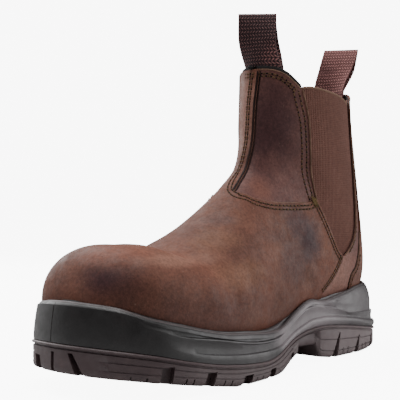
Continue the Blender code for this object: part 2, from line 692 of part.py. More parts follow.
def main():
    """Builds the boot's pieces."""
    for old in list(bpy.data.objects):
        bpy.data.objects.remove(old)
    leather = material("brown_leather", (0.110, 0.048, 0.030), 0.55)
    rubber = material("brown_rubber", (0.095, 0.068, 0.065), 0.65)
    moulding = material("dark_moulding", (0.040, 0.034, 0.034), 0.45)
    elastic = material("brown_elastic", (0.085, 0.040, 0.028), 0.85)
    webbing = material("brown_webbing", (0.100, 0.045, 0.040), 0.80)
    board = material("insole_cloth", (0.030, 0.028, 0.028), 0.90)
    make_outsole(rubber)
    make_midsole(moulding, form("recess", GAP))
    make_insole(board)
    make_upper(leather)
    make_gore("gore_outer", 1, elastic)
    make_gore("gore_inner", -1, elastic)
    front_top = COLLAR_HEIGHT + FRONT_TAB_HEIGHT
    back_top = COLLAR_BACK[-1][1] * COLLAR_HEIGHT + BACK_TAB_HEIGHT
    make_tab("front_tab", 1, front_top, FRONT_TAB_HEIGHT, 0.003, 0.004, 0.60, webbing)
    make_tab("back_tab", -1, back_top, BACK_TAB_HEIGHT, 0.000, -0.013, -0.50, webbing)


main()
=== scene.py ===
"""Looks of the pull-on safety boot: leather upper, elastic gores, webbing tabs and moulded sole."""

import logging
from collections.abc import Callable, Iterator, Sequence
from dataclasses import dataclass, field
from enum import Enum

import bmesh
import bpy
import numpy as np
from bpy.types import Material, Node, NodeSocket, NodeTree, Object
from mathutils import Matrix, Vector
from mathutils.bvhtree import BVHTree

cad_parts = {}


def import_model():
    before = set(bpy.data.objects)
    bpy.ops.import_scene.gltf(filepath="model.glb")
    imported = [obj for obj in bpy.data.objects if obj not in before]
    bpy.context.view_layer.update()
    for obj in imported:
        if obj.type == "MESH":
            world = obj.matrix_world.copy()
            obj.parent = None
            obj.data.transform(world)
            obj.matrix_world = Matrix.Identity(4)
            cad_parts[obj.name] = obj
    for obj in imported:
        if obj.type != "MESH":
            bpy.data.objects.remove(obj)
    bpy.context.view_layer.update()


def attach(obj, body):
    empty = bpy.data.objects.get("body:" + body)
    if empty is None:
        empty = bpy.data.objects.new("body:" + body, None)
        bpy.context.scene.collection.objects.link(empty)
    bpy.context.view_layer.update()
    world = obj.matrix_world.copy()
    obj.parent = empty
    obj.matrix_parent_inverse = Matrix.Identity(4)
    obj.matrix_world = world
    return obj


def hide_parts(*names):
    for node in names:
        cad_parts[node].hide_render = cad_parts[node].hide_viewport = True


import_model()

LOG = logging.getLogger("boot")
Array = np.ndarray
Triple = tuple[float, float, float]

# Driving sizes, the same as the part's. Metres, x across, s along from the heel, z up.
LENGTH, WIDTH, COLLAR, CAP = 0.304, 0.116, 0.206, 0.06
HEEL_LIFT, BALL_LIFT, TOE_LIFT = 0.03, 0.018, 0.031
TOE_SPRING, ARCH, HEEL_BEVEL = 0.0122, 0.012, 0.0055
RIM_LEAN = 0.006
LUG_GAP, LUG_CUT, LUG_HEIGHT = 0.008, 0.01, 0.012
WALL, STEP, INSOLE, STRIP = 0.0026, 0.0012, 0.0045, 0.013
SHAFT = COLLAR - BALL_LIFT - CAP
WEBBING_WIDTH, WEBBING_THICKNESS = 0.027, 0.0014
# Edges sharper than this angle stay sharp. Steps round the sole's edge and across a tab's webbing.
SHARP, EDGE_STEPS, TAB_COLUMNS = 0.7, 170, 25
# Height share that lies above every collar line
ABOVE = 1.2

# Sections of the form: top along, cap and rise, foot along, cap and rise, half width, middle,
# belly, and how square the crown and the edge are.
SECTIONS = np.array([
    (0.977, 0.34, 0, 0.977, 0.27, 0, 0.013, -0.069, 0.5, 2, 2),
    (0.969, 0.54, 0, 0.969, 0.1, 0, 0.193, -0.065, 0.5, 2.2, 2.3),
    (0.944, 0.8, 0, 0.944, 0.03, 0, 0.301, -0.056, 0.47, 2.3, 2.6),
    (0.898, 0.97, 0, 0.898, 0, 0, 0.381, -0.039, 0.45, 2.3, 3),
    (0.839, 1.02, 0, 0.839, 0, 0, 0.418, -0.028, 0.43, 2.3, 3.2),
    (0.766, 1.04, 0, 0.766, 0, 0, 0.433, -0.016, 0.4, 2.2, 3.4),
    (0.69, 1, 0.078, 0.681, 0, 0, 0.43, -0.004, 0.36, 2.1, 3.4),
    (0.625, 1, 0.166, 0.589, 0, 0, 0.4, 0.004, 0.35, 2, 3.4),
    (0.57, 1, 0.255, 0.49, 0, 0, 0.353, 0.008, 0.34, 2, 3.2),
    (0.517, 1, 0.345, 0.368, 0, 0, 0.313, 0.004, 0.34, 2, 3),
    (0.478, 1, 0.418, 0.227, 0, 0, 0.3, 0, 0.34, 2, 2.8),
    (0.4605, 1, 0.489, 0.122, 0, 0, 0.296, 0, 0.34, 2, 2.6),
    (0.4515, 1, 0.56, 0.053, 0.14, 0, 0.296, 0, 0.36, 2, 2.4),
    (0.4475, 1, 0.63, 0.0305, 0, 0.18, 0.294, 0, 0.38, 2, 2.4),
    (0.4455, 1, 0.697, 0.0275, 0, 0.36, 0.29, 0, 0.42, 2.05, 2.3),
    (0.444, 1, 0.765, 0.0395, 0, 0.594, 0.286, 0, 0.46, 2, 2.3),
    (0.441, 1, 0.834, 0.054, 0, 0.852, 0.288, 0, 0.49, 1.95, 2.2),
    (0.438, 1, 0.915, 0.067, 0, 1.102, 0.293, 0, 0.5, 1.9, 2.1),
    (0.435, 1, 1.02, 0.074, 0, 1.39, 0.294, 0, 0.5, 1.9, 2),
])

# Outline of the sole: along, outer and inner edge as shares of the width
OUTLINE = np.array([
    (0, 0, 0), (0.012, 0.15, -0.15), (0.06, 0.284, -0.284), (0.141, 0.334, -0.336),
    (0.237, 0.342, -0.338), (0.352, 0.345, -0.33), (0.46, 0.372, -0.345), (0.575, 0.458, -0.425),
    (0.681, 0.49, -0.485), (0.766, 0.478, -0.503), (0.845, 0.452, -0.502), (0.918, 0.38, -0.447),
    (0.972, 0.232, -0.335), (1, -0.04, -0.05),
])

# Footbed: along, shares of the heel's and the toe's lift over the ball's
FOOTBED = np.array([
    (0, 1, 0), (0.22, 1, 0), (0.33, 0.86, 0), (0.42, 0.5, 0), (0.52, 0.12, 0),
    (0.63, 0, 0), (0.76, 0, 0.12), (0.85, 0, 0.42), (0.92, 0, 0.74), (1, 0, 1),
])

# Underside of the tread: along, shares of the heel bevel, the arch's height and the toe spring
GROUND = np.array([
    (0, 1, 0, 0), (0.03, 0.55, 0, 0), (0.06, 0.34, 0, 0),
    (0.1, 0.14, 0, 0), (0.15, 0, 0, 0), (0.28, 0, 0, 0),
    (0.343, 0.5, 0, 0), (0.3455, 0, 0.95, 0), (0.39, 0, 1, 0),
    (0.43, 0, 1.05, 0), (0.44, 0, 0.72, 0), (0.479, 0, 0.36, 0),
    (0.525, 0, 0.04, 0), (0.55, 0, 0, 0), (0.715, 0, 0, 0),
    (0.75, 0, 0, 0.12), (0.84, 0, 0, 0.45), (0.9, 0, 0, 0.68),
    (0.95, 0, 0, 0.86), (1, 0, 0, 1),
])

# Lines along the side of the sole, from the heel to the toe: along, height in metres
BEAD_LINE = np.array([
    (0, 0.0158), (0.079, 0.0166), (0.184, 0.0205), (0.263, 0.0231), (0.316, 0.0243), (0.364, 0.0242),
    (0.409, 0.0227), (0.449, 0.0207), (0.499, 0.0171), (0.55, 0.0136), (0.603, 0.0116), (0.655, 0.012),
    (0.712, 0.0133), (0.769, 0.0153), (0.845, 0.0196), (0.905, 0.0238), (0.955, 0.0268), (1, 0.029),
])
LOW_LINE = np.array([
    (0, 0.0215), (0.086, 0.0225), (0.184, 0.0265), (0.263, 0.0294), (0.315, 0.0305), (0.373, 0.0297),
    (0.409, 0.0273), (0.448, 0.0244), (0.488, 0.0212), (0.535, 0.0182), (0.6, 0.0176), (0.68, 0.0184),
    (0.741, 0.0198), (0.796, 0.0219), (0.845, 0.0246), (0.887, 0.029), (0.905, 0.0312), (1, 0.036),
])
HIGH_LINE = np.array([
    (0, 0.029), (0.08, 0.03), (0.192, 0.0308), (0.232, 0.0331), (0.27, 0.0358), (0.3, 0.0372),
    (0.345, 0.0388), (0.386, 0.0383), (0.419, 0.0355), (0.465, 0.0301), (0.501, 0.0269), (0.546, 0.024),
    (0.62, 0.024), (0.68, 0.0256), (0.769, 0.0298), (0.845, 0.0331), (0.877, 0.0355), (0.906, 0.0385),
    (0.929, 0.0407), (0.942, 0.0441), (1, 0.048),
])
RIM_LINE = np.array([
    (0, 0.0512), (0.06, 0.0501), (0.104, 0.0491), (0.14, 0.0484), (0.173, 0.0467), (0.22, 0.0446),
    (0.266, 0.0426), (0.3, 0.0416), (0.33, 0.0422), (0.358, 0.0433), (0.384, 0.0421), (0.418, 0.0382),
    (0.454, 0.0336), (0.492, 0.0298), (0.537, 0.0284), (0.601, 0.0287), (0.663, 0.0303), (0.705, 0.0312),
    (0.742, 0.0323), (0.796, 0.0354), (0.845, 0.0388), (0.906, 0.0433), (0.937, 0.0464), (0.97, 0.0505),
    (1, 0.0527),
])

# Strength along the sole of the lean, the low ledge, the high ledge, the heel's bulge, the lip's
# groove and the crease of the heel panel
FADES = np.array([
    # along, lean, low, high, bulge, lip, panel
    (0, 1, 0.6, 0, 0.5, 0.3, 0.8),
    (0.1, 0.95, 0.8, 0, 1, 0.6, 1),
    (0.25, 0.6, 1, 0, 1, 1, 1),
    (0.3, 0.45, 1, 0, 0.8, 1, 1),
    (0.33, 0.35, 1, 0.2, 0.6, 1, 0),
    (0.385, 0.28, 1, 1, 0.3, 1, 0),
    (0.6, 0.2, 1, 1, 0, 1, 0),
    (0.79, 0.28, 1, 1, 0, 0.9, 0),
    (0.83, 0.29, 0.6, 0.9, 0, 0.8, 0),
    (0.86, 0.32, 0.2, 0.7, 0, 0.6, 0),
    (0.885, 0.36, 0, 0.5, 0, 0.4, 0),
    (0.925, 0.4, 0, 0.2, 0, 0.2, 0),
    (0.944, 0.44, 0, 0, 0, 0.2, 0),
    (1, 0.5, 0, 0, 0, 0.2, 0),
])

# Lines on the upper seen from the side: shares of the length and of the collar's height
COLLAR_FRONT = [
    (0.46, 1.001), (0.441, 1.001), (0.418, 0.998), (0.396, 0.985), (0.376, 0.96), (0.36, 0.938),
]
COLLAR_BACK = [(0.155, 0.912), (0.13, 0.932), (0.098, 0.955), (0.062, 0.968), (0.03, 0.97)]
GORE_FRONT = [
    (0.362, 1.04), (0.354, 0.932), (0.343, 0.873), (0.334, 0.825), (0.329, 0.757), (0.325, 0.67),
    (0.317, 0.6), (0.306, 0.548), (0.281, 0.49), (0.256, 0.429), (0.232, 0.376), (0.212, 0.35),
]
GORE_BACK = [
    (0.2, 0.352), (0.182, 0.37), (0.156, 0.408), (0.138, 0.47), (0.129, 0.573), (0.131, 0.704),
    (0.14, 0.825), (0.15, 0.932), (0.156, 1.04),
]
GORE_TOP = [(0.36, 0.938), (0.325, 0.944), (0.275, 0.939), (0.212, 0.928), (0.145, 0.908)]
PANEL_SEAM = [
    (0.545, 0.586), (0.519, 0.567), (0.503, 0.553), (0.465, 0.542), (0.415, 0.54), (0.343, 0.542), (0.3, 0.556),
]
# Where the panel's seam starts to show, and where it ends at the bar tack
SEAM_START, SEAM_END = (0.53, 0.574), (0.322, 0.551)
# Edge of the front strip seen from the front: height share, and half width as a share of the strip's
STRIP_LINE = np.array([
    (0.56, 1.2), (0.6, 0.92), (0.634, 0.75), (0.676, 0.61), (0.72, 0.62), (0.78, 0.64), (0.84, 0.66),
    (0.9, 0.72), (1, 0.9), (1.15, 0.9),
])
# How much further the strip reaches on the inner flank than on the outer one
INNER_REACH = 0.013
# Stitch rows round the foot of the strip: inset from its edge, then place across and height share
CORNER_ROWS = (
    (0.0064, [
        (-0.0017, 0.6144), (0.0005, 0.5916), (0.0028, 0.5805), (0.0059, 0.5705),
        (0.0096, 0.561), (0.015, 0.5515),
    ]),
    (0.0044, [(0.0014, 0.614), (0.0034, 0.5914), (0.0053, 0.5825), (0.008, 0.5755), (0.0128, 0.5655)]),
)
QUARTER_SEAM = [(0.212, 0.345), (0.221, 0.327), (0.247, 0.284), (0.279, 0.245), (0.301, 0.222)]
STRAP_EDGE = [
    (0.168, 0.238), (0.161, 0.275), (0.138, 0.308), (0.124, 0.359), (0.112, 0.437), (0.1, 0.583),
    (0.1, 0.777), (0.108, 1.04),
]

# Creases of the leather: line from the side, depth in metres (inwards is negative), width in metres
CREASES = [
    ([(0.775, 0.42), (0.755, 0.4), (0.725, 0.355), (0.7, 0.3), (0.69, 0.24)], -0.0022, 0.0085),
    ([(0.815, 0.405), (0.795, 0.375), (0.77, 0.32), (0.755, 0.26)], 0.0013, 0.0075),
    ([(0.36, 0.32), (0.33, 0.27), (0.345, 0.215)], 0.001, 0.006),
    ([(0.42, 0.43), (0.38, 0.37), (0.36, 0.3)], -0.0012, 0.011),
    ([(0.6, 0.33), (0.52, 0.27), (0.47, 0.21)], 0.0008, 0.009),
    ([(0.66, 0.35), (0.57, 0.25), (0.54, 0.19)], -0.0008, 0.008),
    ([(0.44, 0.64), (0.4, 0.66), (0.35, 0.65)], -0.0008, 0.009),
]

# Gaps between the lugs: low and high place in outline rows, low and high width, height, depth
OUTER_LUGS = [
    (2.55, 2.36, 0.8, 0.2, 0.95, 0.8), (3.5, 3.25, 1, 0.2, 1.1, 1),
    (4.42, 4.16, 1.15, 0.2, 1.45, 1.2), (6.24, 6.08, 0.6, 0.5, 0.6, 0.8),
    (7.25, 7.09, 1, 0.9, 0.5, 0.5), (8.2, 8, 1.15, 1.1, 0.5, 0.5),
    (9.48, 9.27, 1.05, 1, 0.62, 0.5), (10.68, 10.58, 1, 0.95, 0.78, 0.5),
    (12.5, 12.78, 0.85, 0.42, 1.05, 0.6),
]
INNER_LUGS = [
    *OUTER_LUGS[:7], (10.55, 10.45, 1, 0.95, 0.72, 0.5), (11.5, 11.4, 0.9, 0.8, 0.75, 0.6),
    (12.38, 12.28, 1.1, 0.95, 0.7, 1), (12.82, 12.82, 0.34, 0.34, 1, 0.5),
]

# Thin cuts in the lugs of both sides, in the same columns
SIPES = [
    (low, high, 0.12, 0.12, height, 0.4)
    for height, places in (
        (0.52, ((1.62, 1.6), (2.02, 2), (2.9, 2.84), (3.12, 3.06), (3.86, 3.8), (4.08, 4.02))),
        (0.3, ((6.66, 6.56), (6.88, 6.78), (7.62, 7.5), (7.84, 7.72))),
        (0.3, ((8.74, 8.6), (8.98, 8.84), (9.98, 9.86), (10.2, 10.08))),
        (0.22, ((11.2, 11.12), (11.6, 11.52))),
    )
    for low, high in places
]
# Channels across the tread's underside: places along, and half width along in metres
CHANNELS = (0.06, 0.1, 0.15, 0.2, 0.25, 0.3, 0.56, 0.61, 0.66, 0.71, 0.76, 0.81, 0.86, 0.905)
CHANNEL_HALF = 0.0016
# How far inside the sole's edge a channel ends
CHANNEL_END = 0.013

# Light cut edges on each flank: line, and depth under the form
CUT_EDGES = (
    (GORE_FRONT[1:], 0.0007), (GORE_BACK[:-1], 0.0007), ([SEAM_START, *PANEL_SEAM[1:-1]], 0.0006),
    (QUARTER_SEAM, 0.0007), (STRAP_EDGE[:5], 0.0007), (COLLAR_BACK, 0.0008), (COLLAR_FRONT[1:], 0.0014),
)
EDGE_HALF = 0.00055
# Painted shadow lines along the seams: on each flank the line and half width, and on the strip how far
# beyond its edge, the offset from the form, half width and half height
SEAM_SHADOWS = ((QUARTER_SEAM, 0.001), (STRAP_EDGE[:5], 0.0007))
STRIP_SHADOWS = ((0.0008, -STEP, 0.0008, 0.00025), (-0.0006, -0.0001, 0.0009, 0.0003))
# Stitch rows on each flank: line, shift beside it, and offset from the form
PANEL_ROW = [SEAM_START, *PANEL_SEAM[1:-1], SEAM_END]
STITCH_LINES = (
    (GORE_FRONT[1:8], 0.0032, -STEP), (GORE_FRONT[1:8], 0.0071, -STEP),
    (GORE_FRONT[7:], 0.002, 0), (PANEL_ROW, 0.002, 0), (COLLAR_FRONT[1:], 0.0029, -STEP),
    (GORE_FRONT[7:], 0.0046, 0), (PANEL_ROW, 0.0046, 0), (COLLAR_FRONT[1:], 0.00485, -STEP),
    (QUARTER_SEAM, 0.0014, 0), (QUARTER_SEAM, 0.0034, 0), (STRAP_EDGE[:4], 0.0018, 0),
    (GORE_BACK[1:-1], 0.0022, -STEP),
)
# Height of a stitch over the leather along its length, and half length of the painted shade of a needle hole
STITCH_LIFT = np.array([-0.0002, 0.0002, 0.0003, 0.0002, -0.0002])
HOLE_HALF = 0.0007
BAR_TACK = np.array([(0.3175, 0.56), (0.3075, 0.526)])

# Path of a tab's webbing: shares of its rise and of the loop's depth
LOOP_PATH = [
    (0, 0), (0.16, 0), (0.32, 0), (0.55, -0.22), (0.8, -0.25), (0.96, 0), (1, 0.35),
    (0.96, 0.7), (0.8, 0.92), (0.55, 0.72), (0.32, 0.26), (0.16, 0.2), (0, 0.2),
]

# Levels of the midsole's side: line, share to the next line, rise and inset in metres, and insets
# that fade with the low ledge, high ledge, bulge, lip and panel
MIDSOLE_ROWS = [
    (0, 0, 0, 0.0006, 0, 0, 0, 0, 0),
    (0, 0.06, 0, 0.0002, 0, 0, 0, 0, 0),
    (0, 0.45, 0, 0, 0, 0, -0.0014, 0, 0),
    (0, 0.8, 0, 0, 0, 0, -0.0013, 0, 0),
    (1, 0, -0.0002, 0, 0.0003, 0, -0.0008, 0, 0),
    (1, 0, 0.0004, 0, 0.0013, 0, 0, 0, 0),
    (1, 0.3, 0.0003, 0, 0.0014, 0, 0, 0, 0),
    (1, 0.75, 0, 0, 0.0008, 0.0004, 0, 0, -0.0004),
    (2, 0, -0.0008, 0, 0.0002, 0, 0, 0, 0),
    (2, 0, -0.0001, 0, 0, 0.0003, 0, 0, 0.001),
    (2, 0, 0.0005, 0, 0, 0.0015, 0, 0, 0.0012),
    (2, 0.35, 0.0003, 0, 0, 0.0017, 0, 0, 0),
    (2, 0.62, 0, 0, 0, 0.001, 0, 0, -0.0004),
    (3, 0, -0.003, 0.0002, 0, 0.0002, 0, 0, 0),
    (3, 0, -0.0016, 0.0005, 0, 0, 0, 0, 0),
    (3, 0, -0.0006, 0.0012, 0, 0, 0, 0, 0),
    (3, 0, -0.0001, 0.002, 0, 0, 0, 0, 0),
    (3, 0, 0, 0.0028, 0, 0, 0, 0, 0),
    (3, 0, 0, 0.0032, 0, 0, 0, 0.0004, 0),
    (3, 0, -0.0002, 0.0036, 0, 0, 0, 0.001, 0),
    (3, 0, 0.0008, 0.004, 0, 0, 0, 0.0014, 0),
    (3, 0, 0.0012, 0.0048, 0, 0, 0, 0.0018, 0),
    (3, 0, 0.001, 0.006, 0, 0, 0, 0.0024, 0),
]
LINES = [BEAD_LINE, LOW_LINE, HIGH_LINE, RIM_LINE]
# Share of the rim's lean at each share of the side's height
LEAN = np.array([
    (0, 0), (0.05, 0.02), (0.25, 0.12), (0.42, 0.24), (0.56, 0.38), (0.71, 0.55), (0.89, 0.8), (1, 1),
])
# The lip's groove dips this far, at the level under the rim that is inset by more than this
LIP_DIP, LIP_INSET = 0.0014, 0.0033
# Levels of the outsole's side: share of the height, rise, inset, and the heel's and forefoot's grooves
OUTSOLE_ROWS = [
    (0, 0, 0.0022, 0, 0),
    (0, 0.0004, 0.0012, 0, 0),
    (0, 0.0014, 0.0004, 0, 0),
    (0, 0.003, 0, 0, 0),
    (0, 0.0044, 0, 0, 0),
    (0, 0.0046, 0, 0.0007, 0.0004),
    (0, 0.005, 0, 0.0007, 0.0004),
    (0, 0.0052, 0, 0, 0),
    (0.5, 0.001, 0, 0, 0),
    (0.5, 0.0012, 0, 0.0007, 0.0005),
    (0.5, 0.0016, 0, 0.0007, 0.0005),
    (0.5, 0.0018, 0, 0, 0),
    (1, -0.003, 0, 0, 0),
    (1, -0.0026, 0.0008, 0, 0),
    (1, -0.002, 0.0008, 0, 0),
    (1, -0.0017, -0.0003, 0, 0),
    (1, -0.0012, -0.0007, 0, 0),
    (1, -0.0006, -0.0007, 0, 0),
    (1, -0.0001, -0.0002, 0, 0),
    (1, 0, 0.0004, 0, 0),
]
# How far the side of the shank lies in, and how far the tread's levels stay under the bead
SHANK_INSET, BEAD_GAP = 0.0020, 0.0031


class Side(Enum):
    """The two flanks of the boot."""

    OUTER = 1
    INNER = -1


def smooth(rows: Array, places: Array) -> Array:
    """Rows read at places counted in rows, on a smooth curve through them.

    Args:
        rows: the points, one per row.
        places: where to read, 0 being the first row.

    Returns:
        One row per place.
    """
    rows = np.asarray(rows, float)
    places = np.clip(np.asarray(places, float), 0.0, len(rows) - 1 - 1e-9)
    start = np.floor(places).astype(int)
    f = (places - start)[:, None]
    padded = np.vstack([2 * rows[0] - rows[1], rows, 2 * rows[-1] - rows[-2]])
    a, b, c, d = (padded[start + k] for k in range(4))
    return 0.5 * (2 * b + (c - a) * f + (2 * a - 5 * b + 4 * c - d) * f**2 + (3 * b - a - 3 * c + d) * f**3)


def curve(rows: Sequence, steps: int) -> Array:
    """Points of the smooth curve through rows.

    Args:
        rows: the points.
        steps: pieces between two rows.

    Returns:
        The curve's points.
    """
    return smooth(rows, np.linspace(0, len(rows) - 1, steps * (len(rows) - 1) + 1))


def column(rows: Array, along: Array, index: int) -> Array:
    """One column of a table at each place along the sole, straight between its rows."""
    return np.interp(along, rows[:, 0], rows[:, index])


def flow(rows: Array, along: Array, index: int = 1) -> Array:
    """One column of a table at each place along the sole, on a smooth curve through its rows."""
    fine = curve(rows, 24)
    return np.interp(along, fine[:, 0], fine[:, index])


def footbed(along: Array) -> Array:
    """Height of the foot's side of the sole."""
    heel = column(FOOTBED, along, 1) * (HEEL_LIFT - BALL_LIFT)
    return BALL_LIFT + heel + column(FOOTBED, along, 2) * (TOE_LIFT - BALL_LIFT)


def ground(along: Array) -> Array:
    """Height of the tread's underside."""
    lift = column(GROUND, along, 1) * HEEL_BEVEL + column(GROUND, along, 2) * ARCH
    return lift + column(GROUND, along, 3) * TOE_SPRING


def edge_points(places: Array) -> list[Array]:
    """Places on the outer and the inner edge of the sole, as (x, s)."""
    sides = []
    for side, other in ((1, 2), (2, 1)):
        loop = np.vstack([OUTLINE[1, [other, 0]], OUTLINE[:, [side, 0]], OUTLINE[-2, [other, 0]]])
        sides.append(smooth(loop, np.asarray(places) + 1) * (WIDTH, LENGTH))
    return sides


def centre() -> Array:
    """Middle of the sole's outline, which the origin lies under."""
    points = np.vstack(edge_points(np.linspace(0, len(OUTLINE) - 1, 801)))
    return (points.min(axis=0) + points.max(axis=0)) / 2


CENTRE = centre()


def world(points: Array) -> Array:
    """Points (x, s, z) in the row frame."""
    points = np.asarray(points, float)
    return np.c_[points[:, 0] - CENTRE[0], CENTRE[1] - points[:, 1], points[:, 2]]


def unit(ways: Array) -> Array:
    """Directions of length one."""
    return ways / np.linalg.norm(ways, axis=-1, keepdims=True)


def travelled(points: Array) -> Array:
    """Distance along a line of points at each of them."""
    return np.r_[0, np.cumsum(np.linalg.norm(np.diff(points, axis=0), axis=1))]


def read(values: Array, gone: Array, at: Array) -> Array:
    """Rows of values at the distances at, where gone holds each row's own distance."""
    return np.array([np.interp(at, gone, values[:, i]) for i in range(3)]).T


def to_line(points: Array, line: Array) -> Array:
    """Distance of 2-D points from a line of points."""
    best = np.full(len(points), 1e9)
    for a, b in zip(line[:-1], line[1:]):
        way = b - a
        share = np.clip(((points - a) @ way) / max(way @ way, 1e-12), 0, 1)
        best = np.minimum(best, np.linalg.norm(points - a - share[:, None] * way, axis=1))
    return best


def side_line(rows: Sequence, steps: int = 6) -> Array:
    """A side view line in metres."""
    return curve(rows, steps) * (LENGTH, COLLAR)


def beside(line: Array, shift: float) -> Array:
    """A side view line moved sideways: to the left of its own direction if shift is positive."""
    way = unit(np.gradient(line, axis=0))
    return line + shift * np.c_[-way[:, 1], way[:, 0]]


# ---------------------------------------------------------------- meshes


def make(name: str, points: Array, faces: Sequence, finish: Material | None = None) -> Object:
    """An object from points (x, s, z) and faces, turned outwards.

    Args:
        name: the object's name.
        points: corners in boot coordinates.
        faces: tuples of corner numbers.
        finish: its material, or None for a cutter.

    Returns:
        The object, linked to the scene.
    """
    mesh = bpy.data.meshes.new(name)
    mesh.from_pydata(world(points).tolist(), [], [tuple(int(i) for i in f) for f in faces])
    work = bmesh.new()
    work.from_mesh(mesh)
    bmesh.ops.recalc_face_normals(work, faces=work.faces)
    work.to_mesh(mesh)
    work.free()
    made = bpy.data.objects.new(name, mesh)
    bpy.context.scene.collection.objects.link(made)
    if finish is not None:
        mesh.materials.append(finish)
        mesh.shade_smooth()
        mesh.set_sharp_from_angle(angle=SHARP)
    return made


def ring_faces(long: int, round_: int, closed: bool = True) -> list[tuple]:
    """Quads between rings of points that follow one another."""
    faces = []
    for k in range(long - 1):
        for i in range(round_ if closed else round_ - 1):
            j = (i + 1) % round_
            faces.append((k * round_ + i, k * round_ + j, (k + 1) * round_ + j, (k + 1) * round_ + i))
    return faces


def rings_solid(name: str, rings: Array, finish: Material | None = None) -> Object:
    """A closed solid through rings of points, with a flat cap at each end."""
    long, round_, _ = rings.shape
    faces = ring_faces(long, round_)
    faces += [tuple(range(round_)), tuple(range((long - 1) * round_, long * round_))]
    return make(name, rings.reshape(-1, 3), faces, finish)


def block(name: str, outline: Sequence, low: float, high: float) -> Object:
    """A cutter: a side view outline in metres from x low to x high."""
    return rings_solid(name, np.array([[(x, *p) for p in outline] for x in (low, high)]))


def prism(name: str, outline: Sequence, low: float, high: float) -> Object:
    """A cutter: a side view outline in shares of length and collar height."""
    return block(name, np.asarray(outline, float) * (LENGTH, COLLAR), low, high)


def under_slab(name: str, lift: float) -> Object:
    """A cutter: everything under the footbed raised by lift."""
    along = np.linspace(-0.05, 1.05, 60)
    under = np.c_[along * LENGTH, footbed(np.clip(along, 0, 1)) + lift]
    return block(name, [*under, (1.05 * LENGTH, -0.1), (-0.05 * LENGTH, -0.1)], -WIDTH, WIDTH)


def carve(target: Object, *steps: tuple[str, Object]) -> Object:
    """Applies Booleans to the target and removes the cutters.

    Args:
        target: the solid to change.
        steps: pairs of operation and other solid.

    Returns:
        The target.
    """
    for operation, other in steps:
        modifier = target.modifiers.new("carve", "BOOLEAN")
        modifier.operation = operation
        modifier.solver = "MANIFOLD"
        modifier.object = other
    graph = bpy.context.evaluated_depsgraph_get()
    mesh = bpy.data.meshes.new_from_object(target.evaluated_get(graph))
    target.modifiers.clear()
    old, target.data = target.data, mesh
    bpy.data.meshes.remove(old)
    mesh.name = target.name
    for other in {other for _, other in steps}:
        bpy.data.objects.remove(other)
    mesh.shade_smooth()
    mesh.set_sharp_from_angle(angle=SHARP)
    return target


def dress(made: Object, node: str) -> Object:
    """Attaches a finished piece to the root body and hides the CAD node that it stands for."""
    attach(made, "root")
    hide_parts(node)
    return made


def tube(centres: Array, normals: Array, wide: float, high: float, sides: int = 8) -> tuple[Array, list]:
    """Corners and faces of a flattened round strip along a line.

    Args:
        centres: points of the line.
        normals: outward direction at each.
        wide: half width across the surface.
        high: half height over the surface.
        sides: corners round the strip.

    Returns:
        Points and faces, closed at both ends.
    """
    way = unit(np.gradient(centres, axis=0))
    across = unit(np.cross(normals, way))
    up = np.cross(way, across)
    angle = np.linspace(0, 2 * np.pi, sides, endpoint=False)
    taper = np.ones(len(centres))
    taper[[0, -1]] = 0.55
    cos, sin = np.cos(angle)[None, :, None], np.sin(angle)[None, :, None]
    turned = across[:, None] * cos * wide + up[:, None] * sin * high
    rings = centres[:, None] + turned * taper[:, None, None]
    faces = ring_faces(len(centres), sides)
    faces += [tuple(range(sides)), tuple(range((len(centres) - 1) * sides, len(centres) * sides))]
    return rings.reshape(-1, 3), faces


def gather(name: str, parts: list[tuple[Array, list]], finish: Material) -> Object:
    """One object out of many small ones."""
    points, faces, first = [], [], 0
    for corners, quads in parts:
        points.append(corners)
        faces += [tuple(first + i for i in face) for face in quads]
        first += len(corners)
    return make(name, np.vstack(points), faces, finish)


# ---------------------------------------------------------------- the boot's form


